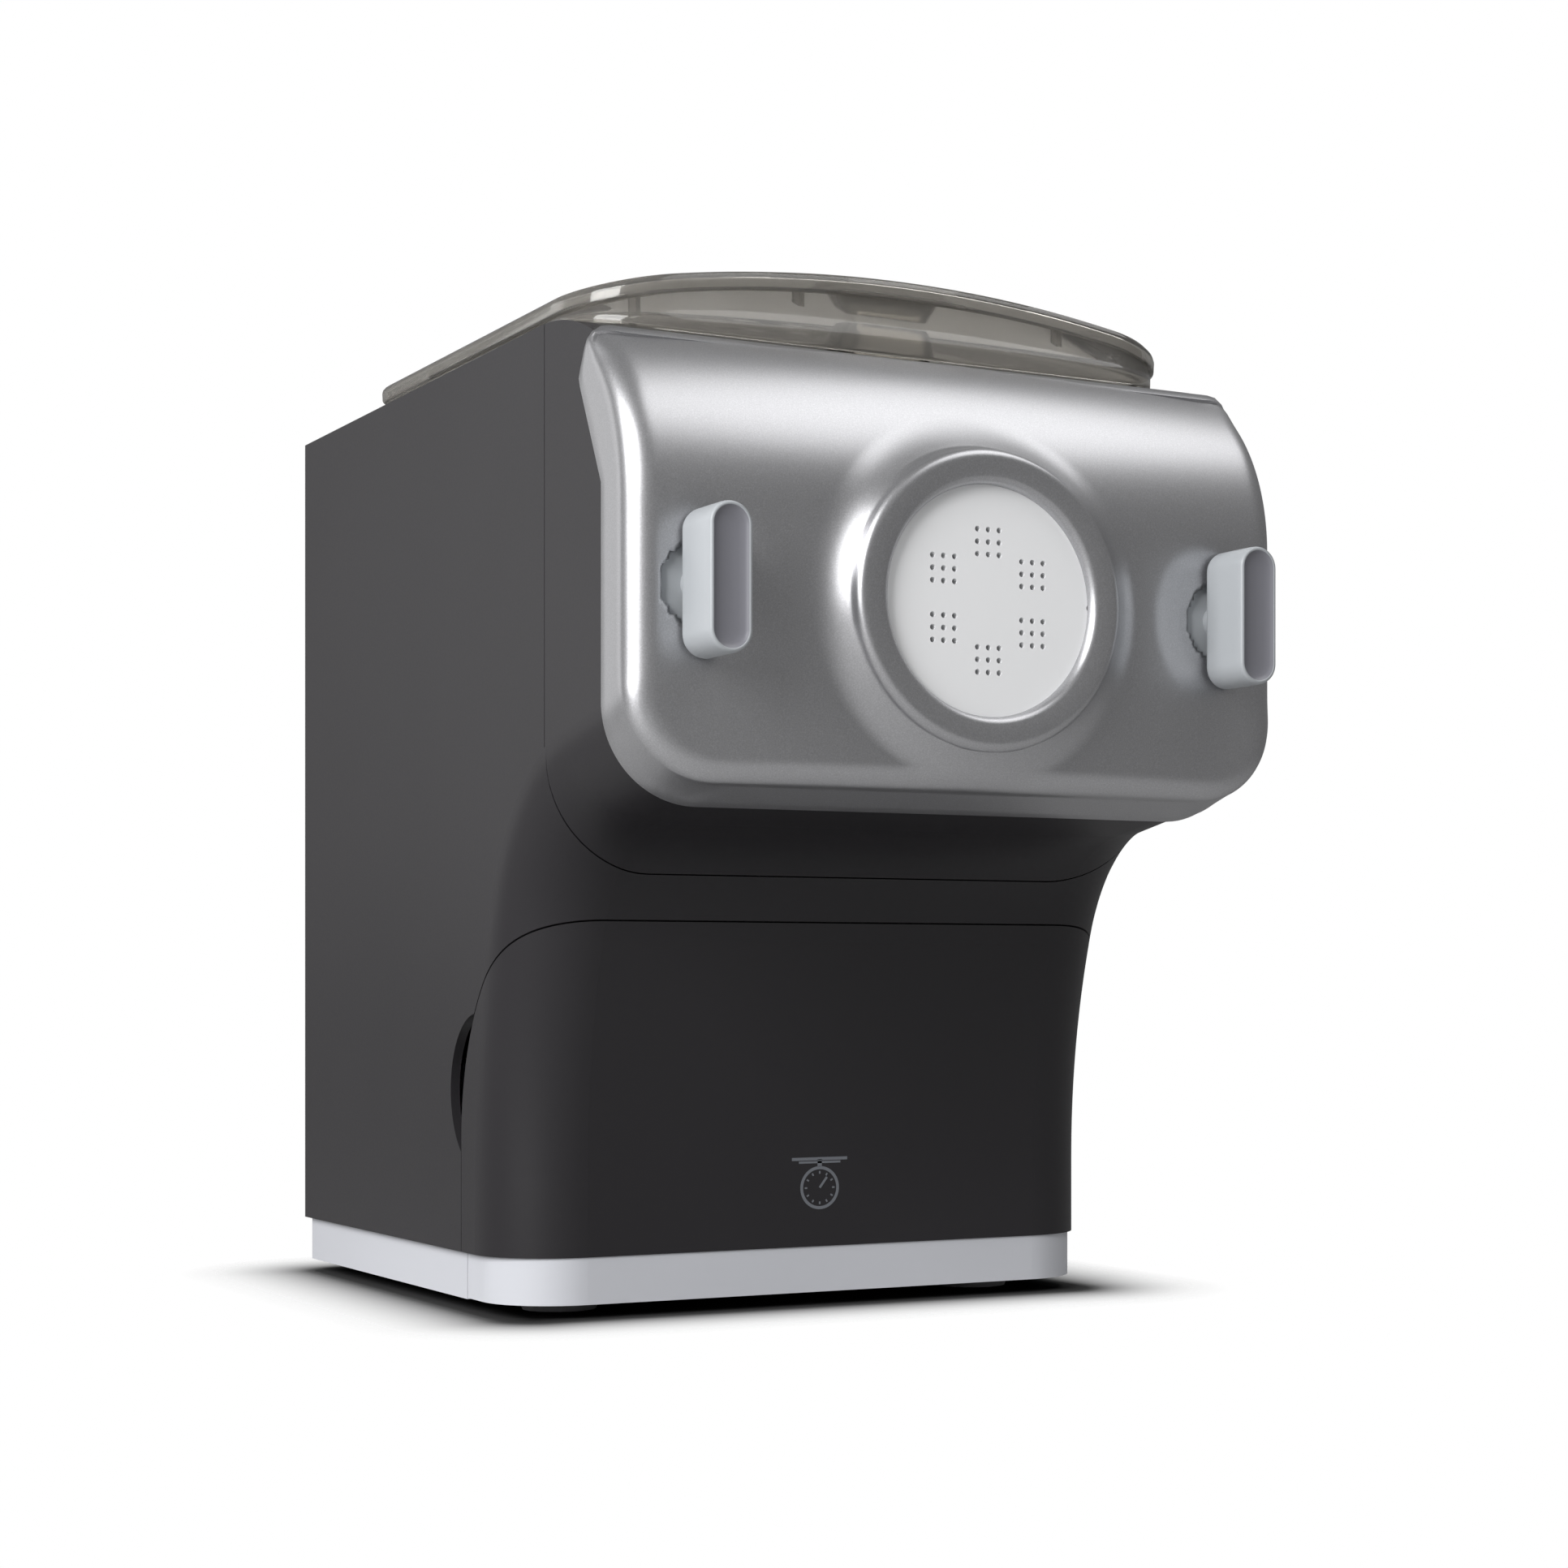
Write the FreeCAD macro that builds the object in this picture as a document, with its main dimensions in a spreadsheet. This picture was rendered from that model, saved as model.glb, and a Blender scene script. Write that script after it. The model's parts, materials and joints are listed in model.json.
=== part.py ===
"""Electric pasta maker: a tall dark body whose head leans out over the bowl, a silver front panel held
by two knobs round a white shaping disc, a clear arched lid and a storage drawer in the foot.
Millimetres. X to the right, Y to the rear, Z up. Origin at the middle of the footprint, on the table."""
import FreeCAD
import Part
import Sketcher
import math
import os
import re
from FreeCAD import Placement, Rotation, Vector

doc = FreeCAD.newDocument("pasta_maker")

# Driving dimensions
SIZES = {
    # body
    "half_width": 107.5, "rear_face": 165.6, "deck_top": 300.8, "shell_bottom": 19.2, "wall": 3.0,
    "foot_front": -43.0, "swell_start": 45.0, "swell_radius": 223.0, "swell_angle": 19.0,
    "throat_radius": 52.0, "throat_angle": 80.0, "corner_radius": 27.0, "rear_corner": 5.0,
    "seam_gap": 0.4, "fit_gap": 0.3, "running_gap": 0.05,
    # seams
    "head_seam": -75.4, "head_seam_low": 138.0, "drawer_seam": -3.5, "drawer_top": 126.0,
    "drawer_seam_radius": 70.0, "grip_low": 51.0, "grip_high": 90.0, "grip_depth": 9.5,
    # front panel
    "rim": -124.7, "rim_flare": -107.8, "flare_height": 279.0, "rim_turn": 247.0, "face": -146.4,
    "face_low": 172.0, "face_high": 240.0, "brow_radius": 57.4, "brow_height": 291.5,
    "crown_radius": 96.0, "band_rise": 5.5, "band_front": -140.5, "face_edge": 101.0,
    "face_edge_set": 3.8, "side_front": -137.0,
    # outlet
    "axis_height": 216.75, "disc_front": -153.5, "disc_radius": 34.9, "disc_thickness": 4.0,
    "recess_radius": 36.15, "hub_radius": 42.4, "hub_front": -154.6, "hub_spread": 12.0,
    "hole_radius": 0.85, "hole_pitch": 3.65, "hole_group_radius": 17.3, "notch_radius": 1.2,
    "tube_radius": 31.0, "tube_bore": 22.5, "tube_flange_radius": 35.5, "tube_flange": 4.0,
    # knobs
    "knob_spacing": 88.06, "knob_width": 13.3, "knob_height": 42.25, "knob_front": -165.6,
    "knob_depth": 19.6, "flange_radius": 13.0, "flange_set": 3.4, "flange_thickness": 3.2, "socket_radius": 14.2,
    "spigot_radius": 6.0,
    # base
    "base_inset": 2.25, "base_bottom": 4.0, "base_wall": 6.5, "foot_radius": 13.0, "foot_x": 76.0,
    "foot_front_y": -8.0, "foot_rear_y": 134.0,
    # lid
    "lid_half_width": 102.5, "lid_front": -99.0, "lid_rear": 93.0, "lid_edge_height": 307.5,
    "lid_top": 319.3, "lid_wall": 2.5, "lid_front_corner": 26.0, "lid_rear_corner": 12.0,
    "lid_pin_radius": 1.5, "lid_pivot_y": 92.0, "lid_pivot_height": 306.5, "lug_radius": 4.2,
    "lug_place": 48.0, "lug_width": 8.8, "slot_place": 11.0, "slot_half": 22.0, "slot_front": -73.0,
    "slot_rear": -55.0, "slot_lip": 4.0,
    # chamber and works
    "chamber_radius": 52.0, "chamber_wall": 3.0, "chamber_front": -95.0, "chamber_rear": 62.0,
    "chamber_half_mouth": 86.0, "chamber_top": 297.6, "shaft_radius": 6.0, "paddle_radius": 47.5,
    "screw_radius": 21.0, "screw_core": 9.0, "screw_pitch": 24.0,
    "gearbox_front": 68.0, "gearbox_depth": 36.0, "gearbox_half_width": 58.0,
    "motor_height": 110.0, "motor_radius": 36.0, "motor_length": 44.0, "motor_wall": 2.5,
    "gear_width": 10.0, "gear_span": 106.75, "output_teeth": 48, "output_module": 2.0,
    "idler_teeth_small": 16, "idler_teeth_large": 45, "pinion_teeth": 15, "pinion_module": 1.5,
    # drawer
    "tray_side": 13.5, "tray_rear": 96.0, "tray_bottom": 23.0, "tray_top": 78.0,
    "tray_wall": 2.5, "ledge_height": 42.0,
    # controls on the right side
    "fascia_front": -52.0, "fascia_rear": 44.0, "fascia_low": 236.0, "fascia_high": 284.0,
    "button_radius": 5.0, "button_height": 248.0, "button_pitch": 17.0,
    "screw_head": 3.6, "gland_side": 37.5, "gland_height": 42.0,
}
sheet = doc.addObject("Spreadsheet::Sheet", "Sizes")
for row, (alias, value) in enumerate(SIZES.items(), 1):
    sheet.set("A%d" % row, alias)
    sheet.set("B%d" % row, repr(value))
    sheet.setAlias("B%d" % row, alias)
doc.recompute()
WORD = re.compile(r"[a-z][a-z_]+")


def size(alias):
    """The value of one cell, for shapes made by Part functions."""
    return float(sheet.get(alias))


def linked(text):
    """An expression with each alias pointed at the sheet."""
    return WORD.sub(lambda m: "Sizes." + m.group(0) if m.group(0) in SIZES else m.group(0), str(text))


def bind(item, prop, text):
    item.setExpression(prop, linked(text))


# Parametric primitives, each span a pair of expressions (low, high)
def block(name, x, y, z):
    item = doc.addObject("Part::Box", name)
    for prop, axis, (low, high) in (("Length", "x", x), ("Width", "y", y), ("Height", "z", z)):
        bind(item, prop, "(%s) - (%s)" % (high, low))
        bind(item, "Placement.Base." + axis, low)
    return item


TURN = {"X": Rotation(Vector(0, 1, 0), 90), "Y": Rotation(Vector(1, 0, 0), -90), "Z": Rotation()}


def rod(name, axis, a, b, span, radius, radius2=None):
    """A cylinder, or a cone with a second radius, along an axis; a and b place it across the axis."""
    item = doc.addObject("Part::Cone" if radius2 else "Part::Cylinder", name)
    item.Placement = Placement(Vector(), TURN[axis])
    across = [letter for letter in "xyz" if letter != axis.lower()]
    bind(item, "Placement.Base." + across[0], a)
    bind(item, "Placement.Base." + across[1], b)
    bind(item, "Placement.Base." + axis.lower(), span[0])
    bind(item, "Height", "(%s) - (%s)" % (span[1], span[0]))
    if radius2:
        bind(item, "Radius1", radius)
        bind(item, "Radius2", radius2)
    else:
        bind(item, "Radius", radius)
    return item


def join(name, items):
    item = doc.addObject("Part::MultiFuse", name)
    item.Shapes = items
    item.Refine = True
    return item


def group(name, items):
    """Separate solids that share a node."""
    item = doc.addObject("Part::Compound", name)
    item.Links = items
    return item


def cut(name, base, tools):
    item = doc.addObject("Part::Cut", name)
    item.Base = base
    item.Tool = tools[0] if len(tools) == 1 else group(name + "_tools", tools)
    return item


def rounded(name, base, radius, choose):
    """Fillets the edges whose middle point passes the test."""
    doc.recompute()
    item = doc.addObject("Part::Fillet", name)
    item.Base = base
    picked = []
    for number, edge in enumerate(base.Shape.Edges, 1):
        middle = edge.valueAt((edge.FirstParameter + edge.LastParameter) / 2)
        if choose(middle, edge):
            picked.append((number, radius, radius))
    item.Edges = picked
    return item


def shaped(name, shape):
    """A Part feature for free forms, its shape read from the sheet by the code that makes it."""
    item = doc.addObject("Part::Feature", name)
    item.Shape = shape
    item.Placement = Placement()
    return item


# Sketched bodies
def body(name):
    return doc.addObject("PartDesign::Body", name)


def sketch(owner, plane, offset="0"):
    item = owner.newObject("Sketcher::SketchObject", owner.Name + "_sketch")
    support = [f for f in owner.Origin.OriginFeatures if f.Role == plane + "_Plane"][0]
    item.AttachmentSupport = (support, [""])
    item.MapMode = "FlatFace"
    bind(item, "AttachmentOffset.Base.z", offset)
    return item


def hold(item, kind, geo, point, text):
    value = sheet_value(text)
    index = item.addConstraint(Sketcher.Constraint("Distance" + kind, -1, 1, geo, point, value))
    item.renameConstraint(index, "hold%d" % index)
    item.setExpression("Constraints.hold%d" % index, linked(text))


def sheet_value(text):
    """The present value of an expression, so that a sketch starts near its solution."""
    plain = WORD.sub(lambda m: str(SIZES[m.group(0)]) if m.group(0) in SIZES else m.group(0), str(text))
    probe = doc.getObject("Probe") or doc.addObject("App::FeaturePython", "Probe")
    if "reading" not in probe.PropertiesList:
        probe.addProperty("App::PropertyFloat", "reading")
    probe.setExpression("reading", plain)
    probe.recompute()
    return probe.reading


def draw_outline(item, points):
    """A closed polygon whose corners are pairs of expressions."""
    spots = [Vector(sheet_value(x), sheet_value(y), 0) for x, y in points]
    first = None
    for number, spot in enumerate(spots):
        after = spots[(number + 1) % len(spots)]
        geo = item.addGeometry(Part.LineSegment(spot, after), False)
        first = geo if first is None else first
        if number:
            item.addConstraint(Sketcher.Constraint("Coincident", geo - 1, 2, geo, 1))
        hold(item, "X", geo, 1, points[number][0])
        hold(item, "Y", geo, 1, points[number][1])
    item.addConstraint(Sketcher.Constraint("Coincident", first + len(spots) - 1, 2, first, 1))


def pad(owner, profile, length, reverse=False):
    item = owner.newObject("PartDesign::Pad", owner.Name + "_pad")
    item.Profile = profile
    item.Reversed = reverse
    bind(item, "Length", length)
    profile.Visibility = False
    return item


def spin(owner, profile, axis="V_Axis"):
    item = owner.newObject("PartDesign::Revolution", owner.Name + "_turned")
    item.Profile = profile
    item.ReferenceAxis = (profile, [axis])
    item.Angle = 360
    return item


def prism(name, plane, points, low, high):
    """A sketched outline between two offsets of its plane; the XZ plane's normal is -Y."""
    owner = body(name)
    start, end = (low, high) if plane != "XZ" else ("-(%s)" % high, "-(%s)" % low)
    profile = sketch(owner, plane, start)
    draw_outline(profile, points)
    pad(owner, profile, "(%s) - (%s)" % (end, start))
    return owner


def turned(name, points, height="axis_height", x="0"):
    """A body of revolution about an axis along Y; points are (radius, y)."""
    owner = body(name)
    profile = sketch(owner, "XY")
    draw_outline(profile, points)
    spin(owner, profile)
    bind(owner, "Placement.Base.x", x)
    bind(owner, "Placement.Base.z", height)
    return owner


# The outer form, from one side profile
def yz(y, z):
    return Vector(0, y, z)


def bend(y, z, radius, start, end, sign):
    """An arc whose tangent turns from one angle off the vertical to another; gives its end too."""
    def at(angle):
        return yz(y + sign * radius * (math.cos(start) - math.cos(angle)),
                  z + radius * (math.sin(angle) - math.sin(start)))
    last = at(end)
    return Part.Arc(yz(y, z), at((start + end) / 2), last).toShape(), (last.y, last.z)


def profile_points():
    """Key points of the side profile, worked out from the driving values."""
    swell = math.radians(size("swell_angle"))
    throat = math.radians(size("throat_angle"))
    lower, end = bend(size("foot_front"), size("swell_start"), size("swell_radius"), 0, swell, -1)
    upper, neck = bend(end[0], end[1], size("throat_radius"), swell, throat, -1)
    rim_low = neck[1] + (neck[0] - size("rim")) / math.tan(throat)
    return lower, upper, neck, rim_low


def extruded(edges, direction, start):
    solid = Part.Face(Part.Wire(Part.__sortEdges__(edges))).extrude(direction)
    solid.translate(start)
    return solid


def outer_form():
    lower, upper, neck, rim_low = profile_points()
    rim = (size("rim"), rim_low)
    band = (size("band_front"), rim_low + size("band_rise"))
    low = (size("face"), size("face_low"))
    high = (size("face"), size("face_high"))
    brow_angle = math.asin((size("brow_height") - size("face_high")) / size("brow_radius"))
    brow, top = bend(high[0], high[1], size("brow_radius"), 0, brow_angle, 1)
    drop = size("deck_top") - top[1]
    span = math.sqrt(2 * size("crown_radius") * drop - drop ** 2)
    crown = (top[0] + span, size("deck_top"))
    swing = math.asin(span / size("crown_radius")) / 2
    crest = yz(crown[0] - size("crown_radius") * math.sin(swing),
               crown[1] - size("crown_radius") * (1 - math.cos(swing)))
    corners = [(size("foot_front"), size("swell_start")), (size("foot_front"), size("shell_bottom")),
               (size("rear_face"), size("shell_bottom")), (size("rear_face"), size("deck_top")), crown]
    middle = yz(low[0] + (band[0] - low[0]) * 0.22, low[1] + (band[1] - low[1]) * 0.62)
    edges = [lower, upper, Part.makeLine(yz(*neck), yz(*rim)), Part.makeLine(yz(*rim), yz(*band)),
             Part.Arc(yz(*band), middle, yz(*low)).toShape(), Part.makeLine(yz(*low), yz(*high)), brow,
             Part.Arc(yz(*top), crest, yz(*crown)).toShape()]
    edges += [Part.makeLine(yz(*a), yz(*b)) for a, b in zip(corners[:-1], corners[1:])]
    half = size("half_width")
    solid = extruded(edges, Vector(2 * half, 0, 0), Vector(-half, 0, 0))
    front = size("foot_front") + 0.001
    picked = []
    for edge in solid.Edges:
        p = edge.valueAt((edge.FirstParameter + edge.LastParameter) / 2)
        if abs(abs(p.x) - half) < 0.001 and p.y < front and size("shell_bottom") + 1 < p.z < rim_low:
            picked.append(edge)
    solid = solid.makeFillet(size("corner_radius"), picked)
    upright = [edge for edge in solid.Edges
               if abs(edge.Vertexes[0].Point.y - size("rear_face")) < 0.001
               and abs(edge.Vertexes[-1].Point.y - size("rear_face")) < 0.001
               and abs(edge.Vertexes[0].Point.x - edge.Vertexes[-1].Point.x) < 0.001]
    return solid.makeFillet(size("rear_corner"), upright)


def plan_form():
    """The same body seen from above: straight sides, a soft edge and a slightly bowed face."""
    half, rear = size("half_width"), size("rear_face")
    side, edge = size("side_front"), size("face_edge")
    edge_y = size("face") + size("face_edge_set")
    soft = (edge + (half - edge) * 0.7, edge_y + (side - edge_y) * 0.3)
    flip = [Vector(-half, side, 0), Vector(-soft[0], soft[1], 0), Vector(-edge, edge_y, 0)]
    edges = [Part.makeLine(Vector(-half, rear, 0), Vector(half, rear, 0)),
             Part.makeLine(Vector(half, rear, 0), Vector(half, side, 0)),
             Part.Arc(Vector(half, side, 0), Vector(soft[0], soft[1], 0), Vector(edge, edge_y, 0)).toShape(),
             Part.Arc(Vector(edge, edge_y, 0), Vector(0, size("face"), 0), flip[2]).toShape(),
             Part.Arc(flip[2], flip[1], flip[0]).toShape(),
             Part.makeLine(flip[0], Vector(-half, rear, 0))]
    return extruded(edges, Vector(0, 0, size("deck_top") + 20), Vector())


def front_outline(low, radius, high):
    """A prism along Y, as wide as the body, with its two lower corners rounded."""
    half = size("half_width")
    solid = Part.makeBox(2 * half, 400, high - low, Vector(-half, -300, low))
    picked = [e for e in solid.Edges if abs(e.Vertexes[0].Point.z - low) < 0.001
              and abs(e.Vertexes[-1].Point.z - low) < 0.001
              and abs(e.Vertexes[0].Point.x - e.Vertexes[-1].Point.x) < 0.001]
    return solid.makeFillet(radius, picked)


def side_region(points, width):
    """A prism along X from points in the side view."""
    spots = [yz(y, z) for y, z in points]
    edges = [Part.makeLine(a, b) for a, b in zip(spots, spots[1:] + spots[:1])]
    return extruded(edges, Vector(2 * width, 0, 0), Vector(-width, 0, 0))


def solid_box(x, y, z):
    return Part.makeBox(x[1] - x[0], y[1] - y[0], z[1] - z[0], Vector(x[0], y[0], z[0]))


def cylinder_y(x, z, radius, low, high):
    return Part.makeCylinder(radius, high - low, Vector(x, low, z), Vector(0, 1, 0))


FORM = outer_form()
RIM_LOW = profile_points()[3]
AXIS = size("axis_height")
WALL = size("wall")
HALF = size("half_width")


def panel_region(shift=0.0):
    """Everything in front of the line where the silver panel meets the head."""
    flare, rim = size("rim_flare"), size("rim")
    top = size("brow_height") - 0.2
    return side_region([(-300, 100), (rim - shift, 100), (rim - shift, size("rim_turn")),
                        (flare - shift, size("flare_height")), (size("rim") + 9.9 - shift, top - shift),
                        (-300, top - shift)], HALF + 20)


def drawer_region(shift=0.0):
    seam, top, radius = size("drawer_seam") - shift, size("drawer_top") - shift, size("drawer_seam_radius")
    centre = (seam - radius, top - radius)
    lean = math.radians(45)
    start, end = yz(seam, centre[1]), yz(centre[0], top)
    middle = yz(centre[0] + radius * math.cos(lean), centre[1] + radius * math.sin(lean))
    edges = [Part.makeLine(yz(-300, 0), yz(seam, 0)), Part.makeLine(yz(seam, 0), start),
             Part.Arc(start, middle, end).toShape(), Part.makeLine(end, yz(-300, top)),
             Part.makeLine(yz(-300, top), yz(-300, 0))]
    return extruded(edges, Vector(2 * HALF + 40, 0, 0), Vector(-HALF - 20, 0, 0))


def head_region(shift=0.0):
    """In front of the upright seam and above the throat seam, whose corners are round."""
    seam, low = size("head_seam") - shift, size("head_seam_low") + shift
    turn = low + 37
    side = side_region([(-300, low), (seam + 26, low), (seam, turn), (seam, 400), (-300, 400)], HALF + 20)
    return side.common(front_outline(low, size("corner_radius") + 10, 420))


def shell_cavity():
    """The hollow of the body: the outer form drawn in by the wall, open at the bottom."""
    lowered, raised = FORM.copy(), FORM.copy()
    lowered.translate(Vector(0, WALL + 0.3, -WALL))
    raised.translate(Vector(0, WALL + 0.3, WALL))
    inner = lowered.common(raised)
    limit = solid_box((-HALF + WALL, HALF - WALL), (-200, size("rear_face") - WALL), (0, size("deck_top") - WALL))
    below = solid_box((-HALF + WALL, HALF - WALL), (size("foot_front") + WALL, size("rear_face") - WALL),
                      (0, size("shell_bottom") + WALL))
    return inner.common(limit).fuse(below)


def grip_cutters():
    """Finger hollows on both sides, behind the drawer's seam."""
    reach = (size("grip_high") - size("grip_low")) / 2
    depth = size("grip_depth")
    radius = (reach ** 2 + depth ** 2) / (2 * depth)
    y, z = size("drawer_seam") + depth - radius, (size("grip_high") + size("grip_low")) / 2
    span = 14
    return [Part.makeCylinder(radius, span, Vector(x, y, z), Vector(1, 0, 0)) for x in (-HALF - 1, HALF + 1 - span)]


def deck_mouth(grow=0.0):
    """The opening in the deck over the mixing chamber."""
    mouth = size("chamber_half_mouth") + grow
    return solid_box((-mouth, mouth), (size("chamber_front") - grow, size("chamber_rear") + WALL + grow),
                     (size("deck_top") - 3 * WALL, size("deck_top") + 20))


def dark_form():
    return FORM.cut(panel_region())


def make_shells():
    hollow = dark_form().cut(shell_cavity()).cut(deck_mouth(0.4))
    gap = size("seam_gap")
    head = hollow.common(head_region(gap / 2))
    bulkhead_y = size("rim") + WALL
    plate = solid_box((-HALF + WALL, HALF - WALL), (bulkhead_y, bulkhead_y + WALL),
                      (RIM_LOW + WALL + 1, size("rim_turn")))
    plate = plate.common(front_outline(RIM_LOW + WALL + 1, size("corner_radius"), size("deck_top")))
    plate = plate.cut(cylinder_y(0, AXIS, size("tube_flange_radius") + 2.5, -200, 0))
    for side in (-1, 1):
        plate = plate.cut(cylinder_y(side * size("knob_spacing"), AXIS, size("spigot_radius") + 2, -200, 0))
    shaped("head_shell", head.fuse(plate).removeSplitter())
    main = hollow.cut(head_region(-gap / 2)).cut(drawer_region())
    for cutter in grip_cutters():
        main = main.cut(cutter)
    main = main.cut(solid_box((HALF - 2 * WALL, HALF + 1), (size("fascia_front") - 0.2, size("fascia_rear") + 0.2),
                              (size("fascia_low") - 0.2, size("fascia_high") + 0.2)))
    for number in range(14):
        x = (number - 6.5) * 8
        main = main.cut(solid_box((x - 1.6, x + 1.6), (size("rear_face") - 5, size("rear_face") + 1), (96, 128)))
    main = main.cut(cylinder_y(HALF - size("gland_side"), size("gland_height"), 9, size("rear_face") - 5, size("rear_face") + 1))
    shaped("main_shell", main.removeSplitter())


def make_panel():
    gap = size("seam_gap")
    blank = FORM.common(plan_form()).common(panel_region(gap))
    blank = blank.common(front_outline(RIM_LOW, size("corner_radius"), 400))
    inner = FORM.common(plan_form())
    inner.translate(Vector(0, WALL + 0.6, -WALL + 0.4))
    limit = front_outline(size("face_low") - WALL, size("corner_radius") - 2 * WALL, size("brow_height") - WALL)
    limit = limit.common(solid_box((-HALF + WALL, HALF - WALL), (-200, size("rim") + 40), (0, 400)))
    hollow = inner.common(limit).common(side_region(
        [(-300, 100), (size("rim") + 1, 100), (size("rim") + 1, 300), (-300, 300)], HALF))
    spread = size("hub_spread")
    hub = Part.makeCone(size("hub_radius") + spread, size("hub_radius"), size("face") + 4 - size("hub_front"),
                        Vector(0, size("face") + 4, AXIS), Vector(0, -1, 0))
    sleeve = cylinder_y(0, AXIS, size("recess_radius") + WALL, size("hub_front") + 1, size("rim") - 6)
    panel = blank.cut(hollow).fuse(hub).fuse(sleeve)
    panel = panel.cut(cylinder_y(0, AXIS, size("recess_radius"), -200, 0))
    for side in (-1, 1):
        x = side * size("knob_spacing")
        panel = panel.cut(cylinder_y(x, AXIS, size("socket_radius"), -200, size("rim") + 5))
    shaped("front_panel", panel.removeSplitter())


def make_panel_trim():
    """Ring round the disc, knob sockets and the inner frame that carries them."""
    front = "hub_front"
    turned("hub_ring", [("recess_radius", front + " - 0.4"), ("hub_radius - 0.6", front + " - 0.4"),
                        ("hub_radius - 0.6", front), ("recess_radius", front)])
    for side, label in (("-", "left"), ("", "right")):
        turned(label + "_knob_socket",
               [("spigot_radius + running_gap", "rim - 3"), ("socket_radius", "rim - 3"),
                ("socket_radius", "face + 3"), ("flange_radius + fit_gap", "face + 3"),
                ("flange_radius + fit_gap", "rim - 6 - 6"), ("spigot_radius + running_gap", "rim - 6 - 6")],
               x=side + "knob_spacing")


def make_knob(label, side):
    """Pill grip, round flange behind it and the spigot that turns in its socket, with its latch arm."""
    x = side + "knob_spacing"
    name = label + "_knob"
    front, back = "knob_front", "knob_front + knob_depth"
    straight = "(knob_height - knob_width) / 2"
    grip = join(name + "_grip", [
        block(name + "_web", (x + " - knob_width / 2", x + " + knob_width / 2"), (front, back),
              ("axis_height - " + straight, "axis_height + " + straight)),
        rod(name + "_upper", "Y", x, "axis_height + " + straight, (front, back), "knob_width / 2"),
        rod(name + "_lower", "Y", x, "axis_height - " + straight, (front, back), "knob_width / 2")])
    soft = rounded(name + "_soft", grip, 2.0, lambda p, e: p.y < size("knob_front") + 0.01)
    flange = rod(name + "_flange", "Y", x, "axis_height",
                 ("face + flange_set", "face + flange_set + flange_thickness"), "flange_radius")
    spigot = rod(name + "_spigot", "Y", x, "axis_height", (back + " - 1", "rim - 1"), "spigot_radius")
    join(name, [soft, flange, spigot])
    block(label + "_latch", (x + " - spigot_radius + 1", x + " + spigot_radius - 1"), ("rim - 1", "rim + wall + 1"),
          ("axis_height - 4", "axis_height + 4"))


def make_disc():
    """White shaping disc with six groups of nine holes and two side notches."""
    disc = rod("disc_blank", "Y", "0", "axis_height", ("disc_front", "disc_front + disc_thickness"), "disc_radius")
    tools = []
    for turn in range(6):
        angle = math.radians(60 * turn)
        for row in (-1, 0, 1):
            for column in (-1, 0, 1):
                x = "hole_group_radius * %.6f + hole_pitch * %d" % (math.sin(angle), column)
                z = "axis_height + hole_group_radius * %.6f + hole_pitch * %d" % (math.cos(angle), row)
                tools.append(rod("disc_hole", "Y", x, z, ("disc_front - 1", "disc_front + disc_thickness + 1"),
                                 "hole_radius"))
    for side in ("-", ""):
        tools.append(rod("disc_notch", "Y", side + "disc_radius", "axis_height",
                         ("disc_front - 1", "disc_front + disc_thickness + 1"), "notch_radius"))
    cut("shaping_disc", disc, tools)
    turned("extrusion_tube",
           [("tube_bore", "disc_front + disc_thickness"), ("tube_radius", "disc_front + disc_thickness"),
            ("tube_radius", "chamber_front - fit_gap - tube_flange"),
            ("tube_flange_radius", "chamber_front - fit_gap - tube_flange"),
            ("tube_flange_radius", "chamber_front - fit_gap"), ("tube_bore", "chamber_front - fit_gap")])


def front_upright(middle, edge):
    """Upright edges towards the front."""
    top, low = edge.Vertexes[0].Point, edge.Vertexes[-1].Point
    return abs(top.z - low.z) > 2 and abs(top.x - low.x) < 0.001 and middle.y < size("foot_front") + 20


def make_base():
    inner = "half_width - base_inset - base_wall"
    tray = block("tray_blank", ("-half_width + base_inset", "half_width - base_inset"),
                 ("drawer_seam + seam_gap", "rear_face - base_inset"), ("base_bottom", "shell_bottom"))
    soft = rounded("tray_soft", tray, 4.0, lambda p, e: p.y > size("rear_face") - 3 and abs(p.x) > 90
                   and abs(e.Vertexes[0].Point.z - e.Vertexes[-1].Point.z) > 5)
    hollow = block("tray_hollow", ("-(%s)" % inner, inner),
                   ("drawer_seam - 20", "rear_face - base_inset - base_wall"), ("base_bottom + wall", "deck_top"))
    plank = block("tray_plank", ("-(%s) + fit_gap" % inner, inner + " - fit_gap"),
                  ("foot_front + base_inset + base_wall + 2", "drawer_seam + seam_gap"),
                  ("base_bottom", "base_bottom + wall"))
    tongue = rounded("tray_tongue", plank, 25.0 - size("base_wall"), front_upright)
    join("base_tray", [cut("tray_ring", soft, [hollow]), tongue])
    feet = []
    for x in ("-foot_x", "foot_x"):
        for y in ("foot_front_y", "foot_rear_y"):
            feet.append(rod("foot", "Z", x, y, ("0", "base_bottom"), "foot_radius - 1.2", "foot_radius"))
    group("rubber_feet", feet)
    cells = []
    for x in ("-foot_x", "foot_x"):
        for y in ("foot_front_y", "foot_rear_y"):
            cells.append(block("cell", (x + " - 6", x + " + 6"), (y + " - 20", y + " + 20"),
                               ("base_bottom + wall", "base_bottom + wall + 6")))
    group("load_cells", cells)


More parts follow.
